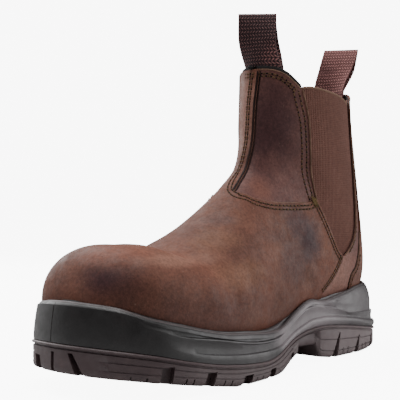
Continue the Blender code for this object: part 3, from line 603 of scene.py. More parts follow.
@dataclass
class Form:
    """The boot's form, sampled finely, with the leather's creases."""

    round_: int = 132
    long: int = 190
    base: Array = field(init=False)
    normal: Array = field(init=False)
    tree: BVHTree = field(init=False)

    def __post_init__(self) -> None:
        rows = smooth(SECTIONS, np.linspace(0, len(SECTIONS) - 1, self.long))
        angle = np.linspace(0, 2 * np.pi, self.round_, endpoint=False)
        across, up = np.sin(angle), -np.cos(angle)
        rings = np.zeros((self.long, self.round_, 3))
        for ring, row in zip(rings, rows):
            (top_along, top_cap, top_rise, foot_along, foot_cap, foot_rise,
             half, middle, belly, crown, edge) = row
            power = np.where(up > 0, 2 / crown, 2 / edge)
            reach = np.abs(up) ** power
            height = belly + np.where(up > 0, (1 - belly) * reach, -belly * reach)
            top = footbed(top_along) + top_cap * CAP + top_rise * SHAFT
            foot = footbed(foot_along) + foot_cap * CAP + foot_rise * SHAFT
            ring[:, 0] = (half * np.sign(across) * np.abs(across) ** power + middle) * WIDTH
            ring[:, 1] = (foot_along + (top_along - foot_along) * height) * LENGTH
            ring[:, 2] = foot + (top - foot) * height
        normal = np.cross(np.roll(rings, -1, axis=1) - np.roll(rings, 1, axis=1), np.gradient(rings, axis=0))
        normal = unit(normal)
        if ((rings - rings.mean(axis=1, keepdims=True)) * normal).sum() < 0:
            normal = -normal
        self.base = rings + normal * self.relief(rings.reshape(-1, 3)).reshape(self.long, self.round_, 1)
        self.normal = normal
        faces = ring_faces(self.long, self.round_)
        self.tree = BVHTree.FromPolygons(self.base.reshape(-1, 3).tolist(), faces)

    @staticmethod
    def relief(points: Array) -> Array:
        """How far the creases move the surface outwards."""
        moved = np.zeros(len(points))
        for line, depth, width in CREASES:
            away = to_line(points[:, 1:], side_line(line, 4))
            moved += depth * np.exp(-((away / width) ** 2))
        return moved

    def rings(self, offset: float, reach: float = 0.0) -> Array:
        """The form's surface moved out by offset, and its open top raised by reach."""
        rings = self.base + self.normal * offset
        rings[-1, :, 2] += reach
        return rings

    def solid(self, name: str, offset: float, finish: Material | None = None,
              reach: float = 0.0) -> Object:
        """A closed solid of the form."""
        return rings_solid(name, self.rings(offset, reach), finish)

    def cast(self, origin: Sequence, way: Sequence, offset: float) -> tuple[Array, Array]:
        """The surface point that a ray meets, lifted by offset, and the outward direction there."""
        spot, normal, _, _ = self.tree.ray_cast(Vector(origin), Vector(way))
        if spot is None:
            spot, normal, _, _ = self.tree.find_nearest(Vector(origin) + Vector(way) * 0.15)
        if normal.dot(Vector(way)) > 0:
            normal = -normal
        return np.array(spot) + np.array(normal) * offset, np.array(normal)

    def on_side(self, line: Array, side: Side, offset: float) -> tuple[Array, Array]:
        """A side view line laid on one flank: its points and outward directions."""
        found = [self.cast((side.value * 0.15, s, z), (-side.value, 0, 0), offset) for s, z in line]
        return np.array([p for p, _ in found]), np.array([n for _, n in found])

    def on_front(self, across: Array, heights: Array, offset: float) -> tuple[Array, Array]:
        """A front view line laid on the front of the shaft."""
        found = [self.cast((x, 0.40, z), (0, -1, 0), offset) for x, z in zip(across, heights)]
        return np.array([p for p, _ in found]), np.array([n for _, n in found])


# ---------------------------------------------------------------- finishes


class Graph:
    """A node tree with short ways to add and link nodes."""

    def __init__(self, tree: NodeTree) -> None:
        self.tree = tree

    def add(self, kind: str, **sets: object) -> Node:
        """A node of that kind, with its attributes set."""
        node = self.tree.nodes.new(kind)
        for key, value in sets.items():
            setattr(node, key, value)
        return node

    def put(self, node: Node, **values: object) -> Node:
        """Sets or links inputs: a socket is linked, anything else is the input's value.

        Args:
            node: the node.
            values: by the input's name with _ for a space, or by i and its number.

        Returns:
            The node.
        """
        for key, value in values.items():
            socket = node.inputs[int(key[1:]) if key[-1].isdigit() else key.replace("_", " ")]
            if isinstance(value, NodeSocket):
                self.tree.links.new(value, socket)
            else:
                socket.default_value = value
        return node

    def use(self, tree: NodeTree, **values: object) -> Node:
        """A node group with its inputs set."""
        return self.put(self.add("ShaderNodeGroup", node_tree=tree), **values)

    def vector(self, operation: str, **values: object) -> Node:
        """One sum of vectors."""
        return self.put(self.add("ShaderNodeVectorMath", operation=operation), **values)

    def math(self, operation: str, a: object, b: object = 0.0) -> NodeSocket:
        """The result of one sum."""
        return self.put(self.add("ShaderNodeMath", operation=operation), i0=a, i1=b).outputs[0]

    def mix(self, share: object, a: object, b: object) -> NodeSocket:
        """A colour between a and b."""
        node = self.add("ShaderNodeMix", data_type="RGBA")
        a, b = (value if isinstance(value, NodeSocket) else (*value, 1.0) for value in (a, b))
        return self.put(node, i0=share, i6=a, i7=b).outputs[2]

    def noise(self, vector: object, scale: float, detail: float = 3.0, rough: float = 0.5,
              distort: float = 0.0) -> NodeSocket:
        """A noise value."""
        node = self.add("ShaderNodeTexNoise")
        self.put(node, Vector=vector, Scale=scale, Detail=detail, Roughness=rough, Distortion=distort)
        return node.outputs["Fac"]

    def span(self, value: object, low: float, high: float, to_low: float = 0.0,
             to_high: float = 1.0) -> NodeSocket:
        """A value stretched from one range onto another, softly."""
        node = self.add("ShaderNodeMapRange", interpolation_type="SMOOTHSTEP")
        return self.put(node, i0=value, i1=low, i2=high, i3=to_low, i4=to_high).outputs[0]

    def bump(self, strength: float, distance: float, height: NodeSocket, **values: object) -> NodeSocket:
        """A normal with height on it."""
        node = self.add("ShaderNodeBump")
        return self.put(node, Strength=strength, Distance=distance, Height=height, **values).outputs["Normal"]

    def shares(self, place: NodeSocket, spots: Sequence["Spot"]) -> Iterator[tuple[NodeSocket, Triple]]:
        """How strongly each spot covers the place, with its colour."""
        for spot in spots:
            node = self.use(spot_group(), Vector=place, Centre=spot.centre, Size=spot.size)
            yield self.math("MULTIPLY", node.outputs["Mask"], spot.strength), spot.colour

    def spotted(self, colour: object, place: NodeSocket, spots: Sequence["Spot"]) -> NodeSocket:
        """A colour with the spots over it."""
        for share, other in self.shares(place, spots):
            colour = self.mix(share, colour, other)
        return colour


def group(name: str, inputs: Sequence[tuple[str, str, object]], output: Sequence[str],
          fill: Callable[[Graph, Sequence[NodeSocket], Node], None]) -> NodeTree:
    """A node group, made once.

    Args:
        name: the group's name.
        inputs: name, socket type and value of each input.
        output: names of the outputs, which are all values.
        fill: adds the nodes between the group's input and output nodes.

    Returns:
        The group.
    """
    if name in bpy.data.node_groups:
        return bpy.data.node_groups[name]
    tree = bpy.data.node_groups.new(name, "ShaderNodeTree")
    for label, kind, value in inputs:
        socket = tree.interface.new_socket(name=label, in_out="INPUT", socket_type=kind)
        if value is not None:
            socket.default_value = value
    for label in output:
        tree.interface.new_socket(name=label, in_out="OUTPUT", socket_type=FLOAT)
    graph = Graph(tree)
    fill(graph, graph.add("NodeGroupInput").outputs, graph.add("NodeGroupOutput"))
    return tree


FLOAT, VECTOR = "NodeSocketFloat", "NodeSocketVector"
PLACE = ("Vector", VECTOR, None)
TURN = 6.2832


def spot_group() -> NodeTree:
    """A soft round patch with an uneven border."""

    def fill(g: Graph, given: Sequence[NodeSocket], out: Node) -> None:
        wobble = g.noise(given["Vector"], 55.0, 3.0, 0.6)
        near = g.vector("SUBTRACT", i0=given["Vector"], i1=given["Centre"])
        scaled = g.vector("DIVIDE", i0=near.outputs[0], i1=given["Size"])
        away = g.vector("LENGTH", i0=scaled.outputs[0])
        moved = g.math("ADD", away.outputs["Value"], g.math("MULTIPLY", g.math("SUBTRACT", wobble, 0.5), 0.9))
        g.put(out, Mask=g.span(moved, 1.15, 0.25))

    inputs = [PLACE, ("Centre", VECTOR, None), ("Size", VECTOR, (0.02, 0.02, 0.02))]
    return group("spot", inputs, ["Mask"], fill)


def grain_group() -> NodeTree:
    """Leather grain: fine pores and a wider unevenness."""

    def fill(g: Graph, given: Sequence[NodeSocket], out: Node) -> None:
        cells = g.add("ShaderNodeTexVoronoi", feature="SMOOTH_F1")
        g.put(cells, Vector=given["Vector"], Scale=given["Scale"])
        fine = g.noise(given["Vector"], 1400.0, 3.0, 0.6)
        pores = g.math("MULTIPLY", cells.outputs["Distance"], 0.5)
        height = g.math("ADD", pores, g.math("MULTIPLY", fine, 0.5))
        g.put(out, Height=height, Wide=g.noise(given["Vector"], 160.0, 4.0, 0.6))

    return group("leather_grain", [PLACE, ("Scale", FLOAT, 900.0)], ["Height", "Wide"], fill)


def dust_group() -> NodeTree:
    """Fine dust and scuff specks."""

    def fill(g: Graph, given: Sequence[NodeSocket], out: Node) -> None:
        specks = g.span(g.noise(given["Vector"], 620.0, 2.0, 0.5), 0.66, 0.78)
        patch = g.span(g.noise(given["Vector"], 26.0, 3.0, 0.6), 0.42, 0.70)
        g.put(out, Mask=g.math("MULTIPLY", g.math("MULTIPLY", specks, patch), given["Amount"]))

    return group("dust", [PLACE, ("Amount", FLOAT, 1.0)], ["Mask"], fill)


def weave_group() -> NodeTree:
    """Woven yarns in a flat pattern measured along and across the webbing."""

    def fill(g: Graph, given: Sequence[NodeSocket], out: Node) -> None:
        parts = g.put(g.add("ShaderNodeSeparateXYZ"), Vector=given["Vector"]).outputs
        across = g.math("DIVIDE", parts[0], given["Across"])
        along = g.math("DIVIDE", parts[1], given["Along"])
        flip = g.math("SUBTRACT", g.math("MULTIPLY", g.math("MODULO", g.math("FLOOR", along), 2.0), 2.0), 1.0)
        slant = g.math("ADD", across, g.math("MULTIPLY", g.math("FRACT", along), flip))
        ridge = g.math("SINE", g.math("MULTIPLY", slant, TURN))
        seam = g.math("SINE", g.math("MULTIPLY", g.math("FRACT", along), TURN / 2))
        g.put(out, Height=g.math("MULTIPLY", g.math("ADD", g.math("MULTIPLY", ridge, 0.5), 0.5), seam))

    return group("weave", [PLACE, ("Across", FLOAT, 0.0021), ("Along", FLOAT, 0.0024)], ["Height"], fill)


@dataclass(frozen=True)
class Spot:
    """One patch of another colour: centre and size in metres in the row frame."""

    centre: Triple
    size: Triple
    colour: Triple
    strength: float


# Patches of another colour that the photo shows: darker, bluer, redder or scuffed leather, lighter sole, and
# painted light and shade where noted
VAMP_SPOTS = (
    Spot((0.019, -0.1385, 0.065), (0.03, 0.03, 0.017), (0.045, 0.016, 0.016), 0.7),
    Spot((0.017, -0.1385, 0.066), (0.014, 0.02, 0.009), (0.024, 0.009, 0.014), 0.6),
    # Painted shade: darker low on the toe's outer side
    Spot((0.0392, -0.1233, 0.053), (0.04, 0.04, 0.015), (0.06, 0.024, 0.018), 0.6),
    Spot((0.05, -0.0745, 0.043), (0.024, 0.07, 0.017), (0.068, 0.029, 0.024), 0.6),
    # Painted light: the front strip lighter where the left lamp falls on it
    Spot((-0.003, 0.017, 0.172), (0.016, 0.014, 0.042), (0.21, 0.105, 0.08), 0.8),
    Spot((0.0342, 0.045, 0.084), (0.018, 0.016, 0.021), (0.034, 0.017, 0.021), 0.85),
    Spot((0.032, 0.032, 0.099), (0.016, 0.015, 0.015), (0.058, 0.029, 0.031), 0.55),
    Spot((0.04, 0.02, 0.07), (0.016, 0.022, 0.018), (0.076, 0.038, 0.035), 0.45),
    Spot((0.0436, -0.0441, 0.066), (0.016, 0.03, 0.012), (0.18, 0.08, 0.044), 0.5),
    Spot((0.0248, -0.0491, 0.0868), (0.018, 0.028, 0.011), (0.17, 0.078, 0.045), 0.45),
    Spot((0.034, -0.0924, 0.076), (0.02, 0.04, 0.005), (0.22, 0.11, 0.078), 0.55),
    # Painted highlight: redder and lighter on the toe's top
    Spot((0.01, -0.125, 0.08), (0.026, 0.026, 0.008), (0.17, 0.058, 0.036), 0.5),
    Spot((0.012, -0.03, 0.099), (0.018, 0.014, 0.006), (0.066, 0.034, 0.031), 0.55),
    Spot((0.03, 0.005, 0.088), (0.02, 0.018, 0.007), (0.08, 0.038, 0.032), 0.45),
)
PANEL_SPOTS = (
    Spot((0.0139, 0.024, 0.168), (0.03, 0.026, 0.042), (0.042, 0.017, 0.019), 0.85),
    Spot((0.0189, 0.0085, 0.1213), (0.012, 0.012, 0.012), (0.15, 0.056, 0.036), 0.55),
    # Painted light: the quarter lighter where the rear right lamp falls on it
    Spot((0.0353, 0.0761, 0.06), (0.02, 0.04, 0.026), (0.225, 0.11, 0.082), 0.8),
)
# Painted light: a lighter patch where the front tab's lower leg catches the light
FRONT_TAB_LIGHT_PATCH = (Spot((0.0165, 0.02, 0.214), (0.011, 0.03, 0.013), (0.23, 0.105, 0.1), 0.8),)
BACK_TAB_SPOTS = (Spot((-0.004, 0.126, 0.218), (0.014, 0.03, 0.0035), (0.06, 0.022, 0.023), 0.6),)
# Lighter patches on the midsole's sides: painted highlights and reflections of the lamps
MIDSOLE_HIGHLIGHTS = (
    Spot((-0.044, -0.14, 0.042), (0.03, 0.06, 0.03), (0.03, 0.028, 0.028), 0.8),
    Spot((0.042, 0.07, 0.032), (0.03, 0.11, 0.04), (0.064, 0.052, 0.056), 0.8),
    Spot((0.045, 0.045, 0.03), (0.024, 0.042, 0.024), (0.15, 0.126, 0.132), 0.85),
    Spot((0.055, -0.04, 0.03), (0.02, 0.06, 0.03), (0.024, 0.018, 0.02), 0.8),
    Spot((0.047, 0.001, 0.022), (0.014, 0.026, 0.012), (0.19, 0.162, 0.17), 0.75),
)
# Lighter patches on the outsole's outer side
OUTSOLE_SPOTS = (
    Spot((0.052, -0.035, 0.008), (0.03, 0.09, 0.03), (0.08, 0.054, 0.055), 0.75),
    Spot((0.038, 0.1, 0.01), (0.034, 0.07, 0.03), (0.125, 0.09, 0.092), 0.85),
)


@dataclass(frozen=True)
class Finish:
    """What every finish has. Its build makes the material."""

    name: str
    base: Triple

    def start(self) -> tuple[Material, Graph, Node, NodeSocket]:
        """A material, its graph, its shader and the place on the piece in metres."""
        made = bpy.data.materials.new(self.name)
        made.use_nodes = True
        graph = Graph(made.node_tree)
        shader = made.node_tree.nodes["Principled BSDF"]
        return made, graph, shader, graph.add("ShaderNodeTexCoord").outputs["Object"]


@dataclass(frozen=True)
class Leather(Finish):
    """Oiled nubuck leather with a mottled surface that shows wear."""

    dark: Triple
    light: Triple
    roughness: float
    spots: tuple[Spot, ...] = ()

    def build(self) -> Material:
        """Returns: the material."""
        made, g, shader, place = self.start()
        colour = g.mix(g.span(g.noise(place, 17.0, 4.0, 0.55, 0.2), 0.34, 0.66), self.dark, self.base)
        scuff = g.span(g.noise(place, 34.0, 4.0, 0.60, 0.3), 0.48, 0.76)
        # Spots over the colour: tone patches, and the painted light and shade noted at the tables
        colour = g.spotted(g.mix(g.math("MULTIPLY", scuff, 0.40), colour, self.light), place, self.spots)
        mottle = g.span(g.noise(place, 520.0, 4.0, 0.7), 0.3, 0.7, 0.76, 1.22)
        shaded = g.vector("SCALE", i0=colour, Scale=mottle).outputs[0]
        dust = g.use(dust_group(), Vector=place, Amount=0.35)
        grain = g.use(grain_group(), Vector=place, Scale=900.0).outputs
        fine = g.bump(0.16, 0.0004, grain["Height"])
        rough = g.span(grain["Wide"], 0.3, 0.7, self.roughness - 0.08, self.roughness + 0.10)
        g.put(shader, Base_Color=g.mix(dust.outputs["Mask"], shaded, (0.30, 0.22, 0.17)), Roughness=rough,
              Normal=g.bump(0.22, 0.0010, grain["Wide"], Normal=fine), Specular_IOR_Level=0.18)
        return made


@dataclass(frozen=True)
class Rubber(Finish):
    """Moulded rubber or foam, dull or glossy."""

    wear_and_painted_light: Triple
    roughness: float
    spots: tuple[Spot, ...] = ()

    def build(self) -> Material:
        """Returns: the material."""
        made, g, shader, place = self.start()
        wear = g.span(g.noise(place, 70.0, 5.0, 0.65), 0.45, 0.75)
        # Spots over the colour: painted highlights on the midsole, lighter patches on the outsole
        colour = g.spotted(g.mix(g.math("MULTIPLY", wear, 0.5), self.base, self.wear_and_painted_light), place, self.spots)
        rough = g.span(g.noise(place, 120.0, 3.0, 0.6), 0.3, 0.7, self.roughness - 0.05, self.roughness + 0.08)
        skin = g.bump(0.10, 0.0003, g.noise(place, 900.0, 3.0, 0.55))
        g.put(shader, Base_Color=colour, Roughness=rough, Normal=skin, Specular_IOR_Level=0.5)
        return made


@dataclass(frozen=True)
class Cloth(Finish):
    """Woven or knitted cloth. A ribbed one has fine ribs at a pitch in metres along the boot."""

    light: Triple
    roughness: float
    rib: float = 0.0

    def build(self) -> Material:
        """Returns: the material."""
        made, g, shader, place = self.start()
        height = fuzz = g.noise(place, 420.0, 4.0, 0.65)
        wide = g.span(g.noise(place, 40.0, 3.0, 0.6), 0.35, 0.7)
        colour = g.mix(g.math("MULTIPLY", wide, 0.5), self.base, self.light)
        if self.rib:
            parts = g.put(g.add("ShaderNodeSeparateXYZ"), Vector=place).outputs
            wave = g.math("SINE", g.math("MULTIPLY", parts[1], TURN / self.rib))
            cross = g.math("SINE", g.math("MULTIPLY", parts[2], TURN / self.rib / 0.8))
            loops = g.math("MULTIPLY", g.math("ADD", fuzz, cross), 0.3)
            height = g.math("ADD", g.math("MULTIPLY", wave, 0.5), loops)
            # Darker in the ribs' troughs: painted shade, broken up by the fuzz noise
            ridges = g.math("ADD", wave, g.math("MULTIPLY", cross, 0.35))
            wear_and_painted_light = g.math("ADD", ridges, g.span(fuzz, 0.3, 0.7, -0.8, 0.8))
            colour = g.mix(g.span(wear_and_painted_light, -1.4, 0.8, 0.55, 0.0), colour, tuple(c * 0.45 for c in self.base))
        g.put(shader, Base_Color=colour, Roughness=self.roughness, Normal=g.bump(0.5, 0.0004, height),
              Specular_IOR_Level=0.2)
        return made


@dataclass(frozen=True)
class Webbing(Finish):
    """Woven pull-tab webbing, patterned by the piece's own flat coordinates in metres."""

    tip_highlight: Triple
    gap_shade: Triple
    spots: tuple[Spot, ...] = ()

    def build(self) -> Material:
        """Returns: the material."""
        made, g, shader, place = self.start()
        flat = g.add("ShaderNodeUVMap", uv_map="flat").outputs["UV"]
        height = g.use(weave_group(), Vector=flat).outputs["Height"]
        cloud = g.span(g.noise(place, 60.0, 3.0, 0.6), 0.35, 0.70)
        yarn, tip_highlight = g.mix(cloud, self.base, tuple(c * 0.75 for c in self.base)), self.tip_highlight
        # Spots over the yarn: a painted light patch on the front tab, a darker blotch on the back tab
        for share, other in g.shares(place, self.spots):
            yarn = g.mix(share, yarn, other)
            tip_highlight = g.mix(share, tip_highlight, tuple(min(c * 1.8, 1.0) for c in other))
        # Darker in the weave's hollows as painted shade, lighter on the yarns' tops as painted highlight
        colour = g.mix(g.span(height, 0.05, 0.50), self.gap_shade, yarn)
        colour = g.mix(g.span(height, 0.55, 0.95), colour, tip_highlight)
        g.put(shader, Base_Color=colour, Roughness=0.8, Normal=g.bump(0.7, 0.0006, height),
              Specular_IOR_Level=0.2)
        return made


@dataclass(frozen=True)
class Thread(Finish):
    """Waxed sewing thread, a raw edge, or a flat dark colour for painted shade."""

    roughness: float = 0.7

    def build(self) -> Material:
        """Returns: the material."""
        made, g, shader, place = self.start()
        cloud = g.span(g.noise(place, 90.0, 3.0, 0.6), 0.35, 0.7)
        colour = g.mix(cloud, tuple(c * 0.55 for c in self.base), self.base)
        twist = g.bump(0.3, 0.0002, g.noise(place, 1500.0, 2.0, 0.5))
        g.put(shader, Base_Color=colour, Roughness=self.roughness, Normal=twist, Specular_IOR_Level=0.1)
        return made


# ---------------------------------------------------------------- upper


@dataclass
class Upper:
    """The leather upper with its lining, cut edges and stitching."""

    form: Form
    leather: Material
    panel: Material
    lining: Material
    edge: Material
    thread: Material
    hole: Material
    shade: Material
    tack: Material
    pitch: float = 0.0036
    stitch: float = 0.0023

    @staticmethod
    def add(name: str, strips: list[tuple[Array, list]], finish: Material) -> None:
        """One piece of the upper out of many strips."""
        dress(gather(name, strips, finish), "upper")

    def shell(self, name: str, out: float, into: float, finish: Material,
              cutters: Sequence[tuple[str, Object]]) -> Object:
        """One layer of the wall between two offsets from the form, cut to shape."""
        layer = self.form.solid(name, out, finish)
        inner = self.form.solid(name + "_inside", into, reach=0.02)
        return carve(layer, ("DIFFERENCE", inner), ("DIFFERENCE", under_slab(name + "_slab", INSOLE)), *cutters)

    @staticmethod
    def strip_slab() -> Object:
        """A cutter: the front strip's outline from the front, right through the shaft."""
        line = curve(STRIP_LINE, 5) * (COLLAR, STRIP / 2)
        outline = [(wide, high) for high, wide in line]
        outline += [(-wide - INNER_REACH, high) for high, wide in line[::-1]]
        return rings_solid("strip_slab", np.array([[(x, s, z) for x, z in outline] for s in (0, LENGTH)]))

    @staticmethod
    def strip_edge(heights: Array, side: Side, beyond: float) -> Array:
        """Place across of the front strip's edge at each height, moved outwards by beyond."""
        fine = curve(STRIP_LINE, 8)
        half = np.interp(heights / COLLAR, fine[:, 0], fine[:, 1]) * STRIP / 2
        return side.value * (half + (0 if side is Side.OUTER else INNER_REACH) + beyond)

    def openings(self, name: str) -> list[tuple[str, Object]]:
        """The cuts that every layer has: the collar's line and the gore's notch."""
        above = [
            (0.50, COLLAR_FRONT[0][1]), *curve(COLLAR_FRONT, 6), *curve(COLLAR_BACK, 6),
            (-0.05, COLLAR_BACK[-1][1]), (-0.05, ABOVE), (0.50, ABOVE),
        ]
        notch = [*curve(GORE_FRONT, 6), *curve(GORE_BACK, 6)]
        return [
            ("DIFFERENCE", prism(name + "_above", above, -WIDTH, WIDTH)),
            ("DIFFERENCE", prism(name + "_notch", notch, -WIDTH, WIDTH)),
        ]

    def build_layers(self) -> None:
        """The outer leather, the leather under it, and the lining."""
        panel = [(0.56, ABOVE), (0.56, 0.600), *curve(PANEL_SEAM, 8), (0.29, ABOVE)]
        low = [(a, flow(RIM_LINE, a) / COLLAR - 0.03) for a in (0.300, 0.235, 0.170)]
        quarter = [*curve(QUARTER_SEAM, 6)[:-1], *low, *curve(STRAP_EDGE, 6), (0.18, ABOVE), (0.18, 0.45)]
        cuts = [("DIFFERENCE", prism("quarters", quarter, -WIDTH, WIDTH))]
        for side in Side:
            cutter = prism("panel_" + side.name.lower(), panel, *sorted((side.value * WIDTH, 0)))
            cuts.append(("DIFFERENCE", carve(cutter, ("DIFFERENCE", self.strip_slab()))))
        over = self.shell("vamp_and_strap", 0.0, -STEP - 0.0001, self.leather, [*cuts, *self.openings("over")])
        under = self.shell("panels_and_quarters", -STEP, -0.0020, self.panel, self.openings("under"))
        lining = self.shell("lining", -0.0021, -WALL, self.lining, self.openings("lining"))
        for piece in (over, under, lining):
            dress(piece, "upper")

    def build_edges(self) -> None:
        """The light cut edges of the leather, painted shadow lines along its seams, and the lining's hem."""
        edges, gaps, hems = [], [], []
        heights = np.linspace(0.995, 0.580, 60) * COLLAR
        for side in Side:
            for rows, depth in CUT_EDGES:
                edges.append(tube(*self.form.on_side(side_line(rows, 8), side, -depth), EDGE_HALF, EDGE_HALF))
            if side is Side.INNER:
                laid = self.form.on_front(self.strip_edge(heights, side, 0.0), heights, -0.0006)
                edges.append(tube(*laid, EDGE_HALF, EDGE_HALF))
            # Painted shadow: dark bands along the front strip's edge
            for beyond, offset, wide, high in STRIP_SHADOWS:
                laid = self.form.on_front(self.strip_edge(heights, side, beyond), heights, offset)
                gaps.append(tube(*laid, wide, high))
            # Painted shadow: dark lines along the quarter's seam and the strap's edge
            for rows, wide in SEAM_SHADOWS:
                laid = self.form.on_side(beside(side_line(rows, 8), -wide), side, -STEP)
                gaps.append(tube(*laid, wide, 0.00025))
            laid = self.form.on_side(beside(side_line(COLLAR_FRONT, 8), -0.0014), side, -0.0024)
            hems.append(tube(*laid, 0.0015, 0.0011))
        self.add("lining_hem", hems, self.lining)
        self.add("cut_edges", edges, self.edge)
        # The painted shadow lines along the seams
        self.add("seam_shadows", gaps, self.shade)

    def rows(self) -> list[tuple[Array, Array]]:
        """The stitch rows: points and outward directions of each."""
        found = [
            self.form.on_side(beside(side_line(line), shift), side, offset)
            for side in Side for line, shift, offset in STITCH_LINES
        ]
        heights = np.linspace(0.985, 0.600, 80) * COLLAR
        found.append(self.form.on_front(self.strip_edge(heights, Side.INNER, -0.0012), heights, -0.0005))
        heights = np.linspace(0.985, 0.640, 16)
        for inset, corner in CORNER_ROWS:
            across = self.strip_edge(heights * COLLAR, Side.OUTER, -inset)
            row = curve([*zip(across, heights), *corner], 6)
            found.append(self.form.on_front(row[:, 0], row[:, 1] * COLLAR, 0.0))
        across = np.linspace(-0.006, 0.0045, 12)
        for drop in (0.0029, 0.0052):
            found.append(self.form.on_front(across, np.full(12, COLLAR_FRONT[0][1] * COLLAR - drop), 0.0))
        return found

    def build_stitches(self) -> None:
        """Raised stitches with a flat dark mark between every two: painted shade for the needle hole."""
        threads, holes = [], []
        for points, normals in self.rows():
            gone = travelled(points)
            count = max(int(gone[-1] / self.pitch), 1)
            for k in range(count):
                start = (k + 0.5) * gone[-1] / count - self.stitch / 2
                at = start + np.linspace(0, self.stitch, len(STITCH_LIFT))
                ways = unit(read(normals, gone, at))
                lifted = read(points, gone, at) + ways * STITCH_LIFT[:, None]
                threads.append(tube(lifted, ways, 0.00058, 0.00042, 6))
                # A flat near-black strip on the surface where a needle hole is: painted shade in the hole
                mid = k * gone[-1] / count
                hole = read(points, gone, mid + np.array([-HOLE_HALF, 0, HOLE_HALF]))
                holes.append(tube(hole, unit(read(normals, gone, np.full(3, mid))), 0.00074, 0.00016, 8))
        self.add("stitches", threads, self.thread)
        self.add("needle_holes", holes, self.hole)

    def build_tack(self) -> None:
        """The thick bar tack where the side panel's seam meets the gore."""
        parts = []
        for side in Side:
            for k in range(5):
                line = np.linspace(*(BAR_TACK * (LENGTH, COLLAR)), 5) + (k * 0.0010, k * 0.0003)
                parts.append(tube(*self.form.on_side(line, side, 0.0004), 0.00050, 0.0004, 6))
        self.add("bar_tacks", parts, self.tack)

    def build(self) -> None:
        """Builds every piece of the upper."""
        self.build_layers()
        self.build_edges()
        self.build_stitches()
        self.build_tack()
        LOG.info("upper built")


@dataclass
class Gores:
    """The two elastic gores with their folded top edges."""

    form: Form
    elastic: Material
    fold: Material
    depth: float = 0.0023
    thickness: float = 0.0016
    seam: float = 0.007

    def build(self) -> None:
        """Builds both gores."""
        front = curve(GORE_FRONT[1:], 6) + (self.seam / LENGTH, 0)
        back = curve(GORE_BACK[:-1], 6) - (self.seam / LENGTH, 0)
        low = (0.206, GORE_FRONT[-1][1] - self.seam / COLLAR)
        outline = np.vstack([curve(GORE_TOP, 8), back[::-1], low, front[::-1]])
        for side, node in ((Side.OUTER, "gore_outer"), (Side.INNER, "gore_inner")):
            sheet = self.form.solid(node + "_elastic", -self.depth, self.elastic)
            inner = self.form.solid(node + "_inside", -self.depth - self.thickness, reach=0.02)
            reach = sorted((side.value * WIDTH / 10, side.value * WIDTH))
            carve(sheet, ("DIFFERENCE", inner), ("INTERSECT", prism(node + "_outline", outline, *reach)))
            dress(sheet, node)
            laid = self.form.on_side(side_line(GORE_TOP, 10), side, -self.depth - self.thickness / 2)
            dress(gather(node + "_hem", [tube(*laid, 0.0010, 0.0012)], self.fold), node)
        LOG.info("gores built")


@dataclass
class Tab:
    """A webbing pull loop sewn inside the collar. Toward is 1 at the front and -1 at the back."""

    form: Form
    name: str
    toward: int
    height: float
    rise: float
    middle: float
    lean: float
    sway: float
    twist: float
    finish: Material
    loop: float = 0.007
    root: float = 0.016

    def wall(self, x: Array, height: float) -> Array:
        """Place of the collar's inner face at x."""
        rings = self.form.rings(-WALL - 0.0014)
        end = self.form.round_ // 2 if self.toward > 0 else 0
        ring = rings[np.abs(rings[:, end, 2] - height).argmin()]
        near = ring[(np.arange(-22, 23) + end) % self.form.round_]
        near = near[near[:, 0].argsort()]
        return np.interp(x, near[:, 0], near[:, 1])

    def build(self) -> None:
        """Builds the loop."""
        rise = self.rise + self.root
        floor = self.height - rise
        path = curve(LOOP_PATH, 8)
        up, away = path[:, 0] * rise, path[:, 1] * self.loop
        direction = unit(np.c_[np.gradient(away), np.gradient(up)])
        wide = np.linspace(-0.5, 0.5, TAB_COLUMNS) * WEBBING_WIDTH
        wall = self.wall(self.middle + wide, floor)
        centre_wall = wall[TAB_COLUMNS // 2]
        bow = self.toward * (centre_wall - wall)
        sections = []
        for k, share in enumerate(path[:, 0]):
            free = np.clip((share - 0.3) / 0.7, 0, 1)
            turn = self.twist * free * free * (3 - 2 * free)
            settle = 1 - np.clip((share - 0.33) / 0.35, 0, 1)
            ring = []
            for face in (-0.5, 0.5):
                shift = face * WEBBING_THICKNESS
                depth = away[k] + shift * direction[k][1] + bow * settle + WEBBING_THICKNESS / 2
                level = np.full(TAB_COLUMNS, floor + up[k] - shift * direction[k][0])
                x = wide * np.cos(turn) - depth * np.sin(turn)
                y = centre_wall - self.toward * (depth * np.cos(turn) + wide * np.sin(turn))
                points = np.c_[x + self.middle + self.sway * free, y + self.lean * free, level]
                ring.append(points if face < 0 else points[::-1])
            sections.append(np.vstack(ring))
        made = rings_solid(self.name + "_webbing", np.array(sections), self.finish)
        across = np.tile(np.r_[wide, wide[::-1]], len(path))
        along = np.repeat(travelled(np.c_[up, away]), 2 * TAB_COLUMNS)
        corners = np.empty(len(made.data.loops), int)
        made.data.loops.foreach_get("vertex_index", corners)
        layer = made.data.uv_layers.new(name="flat")
        layer.data.foreach_set("uv", np.c_[across[corners] + 0.05, along[corners] + 0.05].ravel())
        dress(made, self.name)
        LOG.info("%s built", self.name)


# ---------------------------------------------------------------- sole


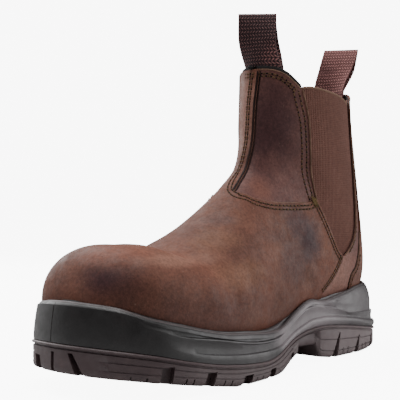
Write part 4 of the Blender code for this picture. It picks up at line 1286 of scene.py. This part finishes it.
@dataclass
class Sole:
    """The outline that midsole and outsole share."""

    finish: Material

    @staticmethod
    def edge() -> tuple[Array, Array]:
        """Points round the sole's edge, seen from above, and the outward direction at each."""
        outer, inner = edge_points(np.linspace(0, len(OUTLINE) - 1, EDGE_STEPS))
        loop = np.vstack([outer, inner[-2:0:-1]])
        way = np.roll(loop, -1, axis=0) - np.roll(loop, 1, axis=0)
        normal = unit(np.c_[way[:, 1], -way[:, 0]])
        outward = ((loop - loop.mean(axis=0)) * normal).sum() > 0
        return loop, (normal if outward else -normal)

    def level(self, row: tuple, along: Array) -> tuple[Array, Array]:
        """Height and inset at each place along, of the level that a table's row gives."""
        raise NotImplementedError

    def ring(self, row: tuple) -> Array:
        """A level's points round the sole."""
        loop, normal = self.edge()
        height, inset = self.level(row, np.clip(loop[:, 1] / LENGTH, 0, 1))
        return np.c_[loop - normal * inset[:, None], height]

    def solid(self, name: str, rows: Sequence[tuple]) -> Object:
        """A closed solid whose side follows levels from its bottom to its top.

        Args:
            name: the object's name.
            rows: a table row for each level.

        Returns:
            The solid.
        """
        rings = [self.ring(row) for row in rows]
        count, half = len(rings[0]), len(rings[0]) // 2
        faces = ring_faces(len(rings), count)
        for first in (0, (len(rings) - 1) * count):
            last = first + count
            faces += [(first, first + 1, last - 1), (first + half, first + half - 1, first + half + 1)]
            faces += [(first + i, first + i + 1, last - i - 1, last - i) for i in range(1, half - 1)]
        return make(name, np.vstack(rings), faces, self.finish)


@dataclass
class Midsole(Sole):
    """The moulded midsole with its ledges and lipped rim."""

    form: Form
    line: Material
    wear_and_painted_light: Material
    parting: float = -0.0142

    def level(self, row: tuple, along: Array) -> tuple[Array, Array]:
        """Height and inset at each place along, of the level that a table's row gives."""
        index, share, rise, inset, *fading = row
        lean, *fades = (column(FADES, along, k) for k in range(1, 7))
        low, high = flow(LINES[index], along), flow(LINES[min(index + 1, 3)], along)
        height = low + (high - low) * share + rise
        if index == 3 and inset > LIP_INSET and rise < 0:
            height = height - LIP_DIP * fades[3]
        bottom, top = flow(BEAD_LINE, along), flow(RIM_LINE, along)
        up = np.interp((height - bottom) / (top - bottom), LEAN[:, 0], LEAN[:, 1])
        return height, RIM_LEAN * lean * up + inset + sum(r * f for r, f in zip(fading, fades))

    def build(self) -> None:
        """Builds the midsole."""
        midsole = self.solid("midsole_moulding", MIDSOLE_ROWS)
        carve(midsole, ("DIFFERENCE", self.form.solid("recess", -0.0006)))
        dress(midsole, "midsole")
        self.parting_line(midsole)
        self.rim_lip()
        LOG.info("midsole built")

    def rim_lip(self) -> None:
        """A thin lighter strip round the rim: a painted highlight on the lip."""
        points, (_, normal) = self.ring(MIDSOLE_ROWS[16]), self.edge()
        ways = np.c_[normal * 0.6, np.full(len(normal), 0.8)]
        strip = tube(np.vstack([points, points[:1]]), np.vstack([ways, ways[:1]]), 0.0010, 0.0003, 6)
        dress(gather("rim_lip", [strip], self.wear_and_painted_light), "midsole")

    def parting_line(self, midsole: Object) -> None:
        """The mould's upright parting line on the toe bumper."""
        corners = np.array([v.co for v in midsole.data.vertices])
        corners = np.c_[corners[:, 0] + CENTRE[0], CENTRE[1] - corners[:, 1], corners[:, 2]]
        tree = BVHTree.FromPolygons(corners.tolist(), [tuple(p.vertices) for p in midsole.data.polygons])
        starts = [Vector((self.parting, 0.40, z)) for z in np.linspace(0.0290, 0.0518, 30)]
        hits = [hit for hit in (tree.ray_cast(start, Vector((0, -1, 0))) for start in starts) if hit[0]]
        points = np.array([hit[0] for hit in hits])
        normals = np.array([hit[1] if hit[1].y > 0 else -hit[1] for hit in hits])
        strip = tube(points, normals, 0.00030, 0.00012, 6)
        dress(gather("parting_line", [strip], self.line), "midsole")


@dataclass
class Outsole(Sole):
    """The rubber outsole with its bead, lugs, slots and sipes."""

    def level(self, row: tuple, along: Array) -> tuple[Array, Array]:
        """Height and inset at each place along, of the level that a table's row gives."""
        share, rise, inset, heel_groove, fore_groove = row
        low, high = ground(along), flow(BEAD_LINE, along)
        height = low + (high - low) * share + rise
        heel = np.interp(along, [0.0, 0.34, 0.345], [1, 1, 0])
        fore = np.interp(along, [0.45, 0.47, 0.97, 0.98], [0, 1, 1, 0])
        inset = inset + heel_groove * heel + fore_groove * fore
        if share < 1:
            height = np.minimum(height, high - BEAD_GAP + share * BEAD_GAP)
            inset = inset + SHANK_INSET * np.interp(along, [0.343, 0.3455, 0.430, 0.440], [0, 1, 1, 0])
        return height, inset

    @staticmethod
    def gaps() -> Object:
        """A cutter: the gaps between the lugs, with shallow channels across the tread, and sipes."""
        boxes = []
        for side, lugs in enumerate((OUTER_LUGS + SIPES, INNER_LUGS + SIPES)):
            for low, high, low_width, high_width, height, depth in lugs:
                before, near, after, far = edge_points([low - 0.05, low, low + 0.05, high])[side]
                way = unit(after - before)
                inward = np.array([-way[1], way[0]]) * (1 - 2 * side)
                floor = float(ground(near[1] / LENGTH))
                ends = ((near, -LUG_CUT / 2, low_width), (far, height * LUG_HEIGHT, high_width))
                boxes.append([
                    (*(spot + inward * reach * LUG_CUT + way * turn * width * LUG_GAP / 2), floor + lift)
                    for spot, lift, width in ends
                    for reach, turn in ((-0.6, -1), (depth, -1), (depth, 1), (-0.6, 1))
                ])
        edges = edge_points(np.linspace(1, len(OUTLINE) - 2, 400))
        for along in CHANNELS:
            ends = [np.interp(along * LENGTH, edge[:, 1], edge[:, 0]) for edge in edges]
            ends = [ends[0] - CHANNEL_END, ends[1] + CHANNEL_END]
            places = [along - CHANNEL_HALF / LENGTH, along + CHANNEL_HALF / LENGTH]
            boxes.append([
                (ends[side], places[turn] * LENGTH, float(ground(places[turn])) + lift)
                for lift in (-0.0030, 0.0016) for turn, side in ((0, 0), (0, 1), (1, 1), (1, 0))
            ])
        quads = [(0, 1, 2, 3), (4, 5, 6, 7), *ring_faces(2, 4)]
        faces = [tuple(8 * k + i for i in quad) for k in range(len(boxes)) for quad in quads]
        return make("gaps", np.vstack(boxes), faces)

    def build(self) -> None:
        """Builds the outsole."""
        outsole = self.solid("outsole_rubber", OUTSOLE_ROWS)
        carve(outsole, ("DIFFERENCE", self.gaps()))
        dress(outsole, "outsole")
        LOG.info("outsole built")


@dataclass
class Insole:
    """The cloth-covered footbed."""

    form: Form
    finish: Material

    def build(self) -> None:
        """Builds the insole."""
        board = self.form.solid("insole_board", -0.0008, self.finish)
        dress(carve(board, ("INTERSECT", under_slab("insole_slab", INSOLE - 0.0003))), "insole")
        LOG.info("insole built")


# ---------------------------------------------------------------- camera and light


@dataclass
class Studio:
    """Pale floor, soft lights and the photo's camera."""

    eye: tuple[float, float, float] = (0.3902, -0.48895, 0.1041)
    turn: float = 40.68
    pitch: float = 0.81
    roll: float = 0.25
    lens: float = 80.94
    sky: float = 0.07
    backdrop: float = 8.5

    def camera(self) -> None:
        """Places the camera as in the photo."""
        a, p, r = np.radians([self.turn, self.pitch, self.roll])
        right = np.array([np.cos(a), np.sin(a), 0])
        look = np.array([-np.sin(a), np.cos(a), 0])
        up = np.array([0.0, 0.0, 1.0])
        look, up = look * np.cos(p) + up * np.sin(p), up * np.cos(p) - look * np.sin(p)
        right, up = right * np.cos(r) + up * np.sin(r), up * np.cos(r) - right * np.sin(r)
        data = bpy.data.cameras.new("photo_camera")
        data.lens, data.sensor_width = self.lens, 36.0
        data.clip_start = 0.01
        made = bpy.data.objects.new("photo_camera", data)
        turned = np.eye(4)
        turned[:3, 0], turned[:3, 1], turned[:3, 2], turned[:3, 3] = right, up, -look, self.eye
        made.matrix_world = Matrix(turned.tolist())
        bpy.context.scene.collection.objects.link(made)
        bpy.context.scene.camera = made

    def lamp(self, name: str, place: tuple, aim: tuple, size: float, power: float) -> None:
        """One soft square lamp."""
        data = bpy.data.lights.new(name, "AREA")
        data.shape, data.size, data.energy = "SQUARE", size, power
        made = bpy.data.objects.new(name, data)
        made.location = place
        made.rotation_euler = (Vector(aim) - Vector(place)).to_track_quat("-Z", "Y").to_euler()
        bpy.context.scene.collection.objects.link(made)

    def build(self) -> None:
        """Sets floor, sky, lamps and camera."""
        mesh = bpy.data.meshes.new("floor")
        corners = [(x, y, -0.0005) for x, y in ((-6, -6), (6, -6), (6, 6), (-6, 6))]
        mesh.from_pydata(corners, [], [(0, 1, 2, 3)])
        floor = bpy.data.objects.new("floor", mesh)
        paint = bpy.data.materials.new("floor_paint")
        paint.use_nodes = True
        coat = Graph(paint.node_tree)
        shown = coat.add("ShaderNodeLightPath").outputs["Is Camera Ray"]
        shader = paint.node_tree.nodes["Principled BSDF"]
        coat.put(shader, Base_Color=(0.55, 0.55, 0.55, 1), Roughness=0.9)
        glow = coat.span(shown, 0.0, 1.0, 0.0, self.backdrop)
        coat.put(shader, Emission_Color=(1, 1, 1, 1), Emission_Strength=glow)
        mesh.materials.append(paint)
        bpy.context.scene.collection.objects.link(floor)
        sky = bpy.data.worlds.new("sky")
        sky.use_nodes = True
        graph = Graph(sky.node_tree)
        seen = graph.add("ShaderNodeLightPath").outputs["Is Camera Ray"]
        back = sky.node_tree.nodes["Background"]
        graph.put(back, Color=(1, 1, 1, 1), Strength=graph.span(seen, 0.0, 1.0, self.sky, self.backdrop))
        bpy.context.scene.world = sky
        self.lamp("left", (-1.10, 0.00, 0.70), (0, -0.05, 0.06), 1.0, 17.0)
        self.lamp("right", (0.95, 1.00, 0.45), (0, 0, 0.06), 1.3, 21.0)
        self.lamp("top", (-0.10, -0.15, 1.30), (0, -0.03, 0.05), 1.0, 25.0)
        self.lamp("front", (0.10, -1.10, 1.20), (0, 0, 0.10), 0.8, 2.5)
        self.camera()
        LOG.info("studio set")


def main() -> None:
    """Builds the boot and the studio."""
    logging.basicConfig(level=logging.INFO, format="%(name)s: %(message)s")
    leather = Leather("vamp_leather", (0.128, 0.047, 0.029), (0.080, 0.031, 0.021), (0.185, 0.086, 0.056),
                      0.62, VAMP_SPOTS).build()
    panel = Leather("panel_leather", (0.130, 0.055, 0.044), (0.085, 0.035, 0.031), (0.17, 0.080, 0.066),
                    0.60, PANEL_SPOTS).build()
    lining = Cloth("lining_cloth", (0.018, 0.016, 0.016), (0.035, 0.030, 0.028), 0.9).build()
    edge = Thread("cut_edge", (0.20, 0.115, 0.080), 0.75).build()
    thread = Thread("thread", (0.112, 0.063, 0.033)).build()
    # Near-black for the needle holes, as painted shade in the holes; the parting line uses it too
    hole = Thread("needle_hole", (0.009, 0.005, 0.004)).build()
    shade = Thread("seam_shade", (0.024, 0.011, 0.009)).build()
    tack = Thread("tack_thread", (0.130, 0.082, 0.032)).build()
    elastic = Cloth("elastic", (0.118, 0.050, 0.037), (0.158, 0.071, 0.054), 0.9, rib=0.0017).build()
    fold = Cloth("elastic_fold", (0.14, 0.080, 0.055), (0.17, 0.10, 0.07), 0.9).build()
    # The front webbing is much darker than the back one: painted shade for the front tab's shaded face
    front_webbing = Webbing("front_webbing", (0.075, 0.034, 0.036), (0.190, 0.100, 0.094),
                            (0.022, 0.012, 0.014), FRONT_TAB_LIGHT_PATCH).build()
    back_webbing = Webbing("back_webbing", (0.200, 0.078, 0.072), (0.380, 0.190, 0.175),
                           (0.100, 0.040, 0.038), BACK_TAB_SPOTS).build()
    moulding = Rubber("midsole_foam", (0.006, 0.0045, 0.0047), (0.018, 0.013, 0.0135),
                      0.47, MIDSOLE_HIGHLIGHTS).build()
    # A lighter strip round the midsole's rim: a painted highlight on the lip
    wear_and_painted_light = Rubber("painted_lip_highlight", (0.040, 0.029, 0.030), (0.090, 0.070, 0.070), 0.50).build()
    rubber = Rubber("outsole_rubber", (0.046, 0.026, 0.028), (0.095, 0.060, 0.060), 0.55, OUTSOLE_SPOTS).build()
    board = Cloth("footbed_cloth", (0.030, 0.028, 0.028), (0.05, 0.045, 0.045), 0.95).build()
    form = Form()
    Upper(form, leather, panel, lining, edge, thread, hole, shade, tack).build()
    Gores(form, elastic, fold).build()
    Tab(form, "front_tab", 1, 0.245, 0.039, 0.003, 0.004, 0.003, 0.66, front_webbing).build()
    Tab(form, "back_tab", -1, 0.2358, 0.036, 0.000, -0.013, 0.0, -0.50, back_webbing).build()
    Midsole(moulding, form, hole, wear_and_painted_light).build()
    Outsole(rubber).build()
    Insole(form, board).build()
    Studio().build()


if __name__ == "__main__":
    main()
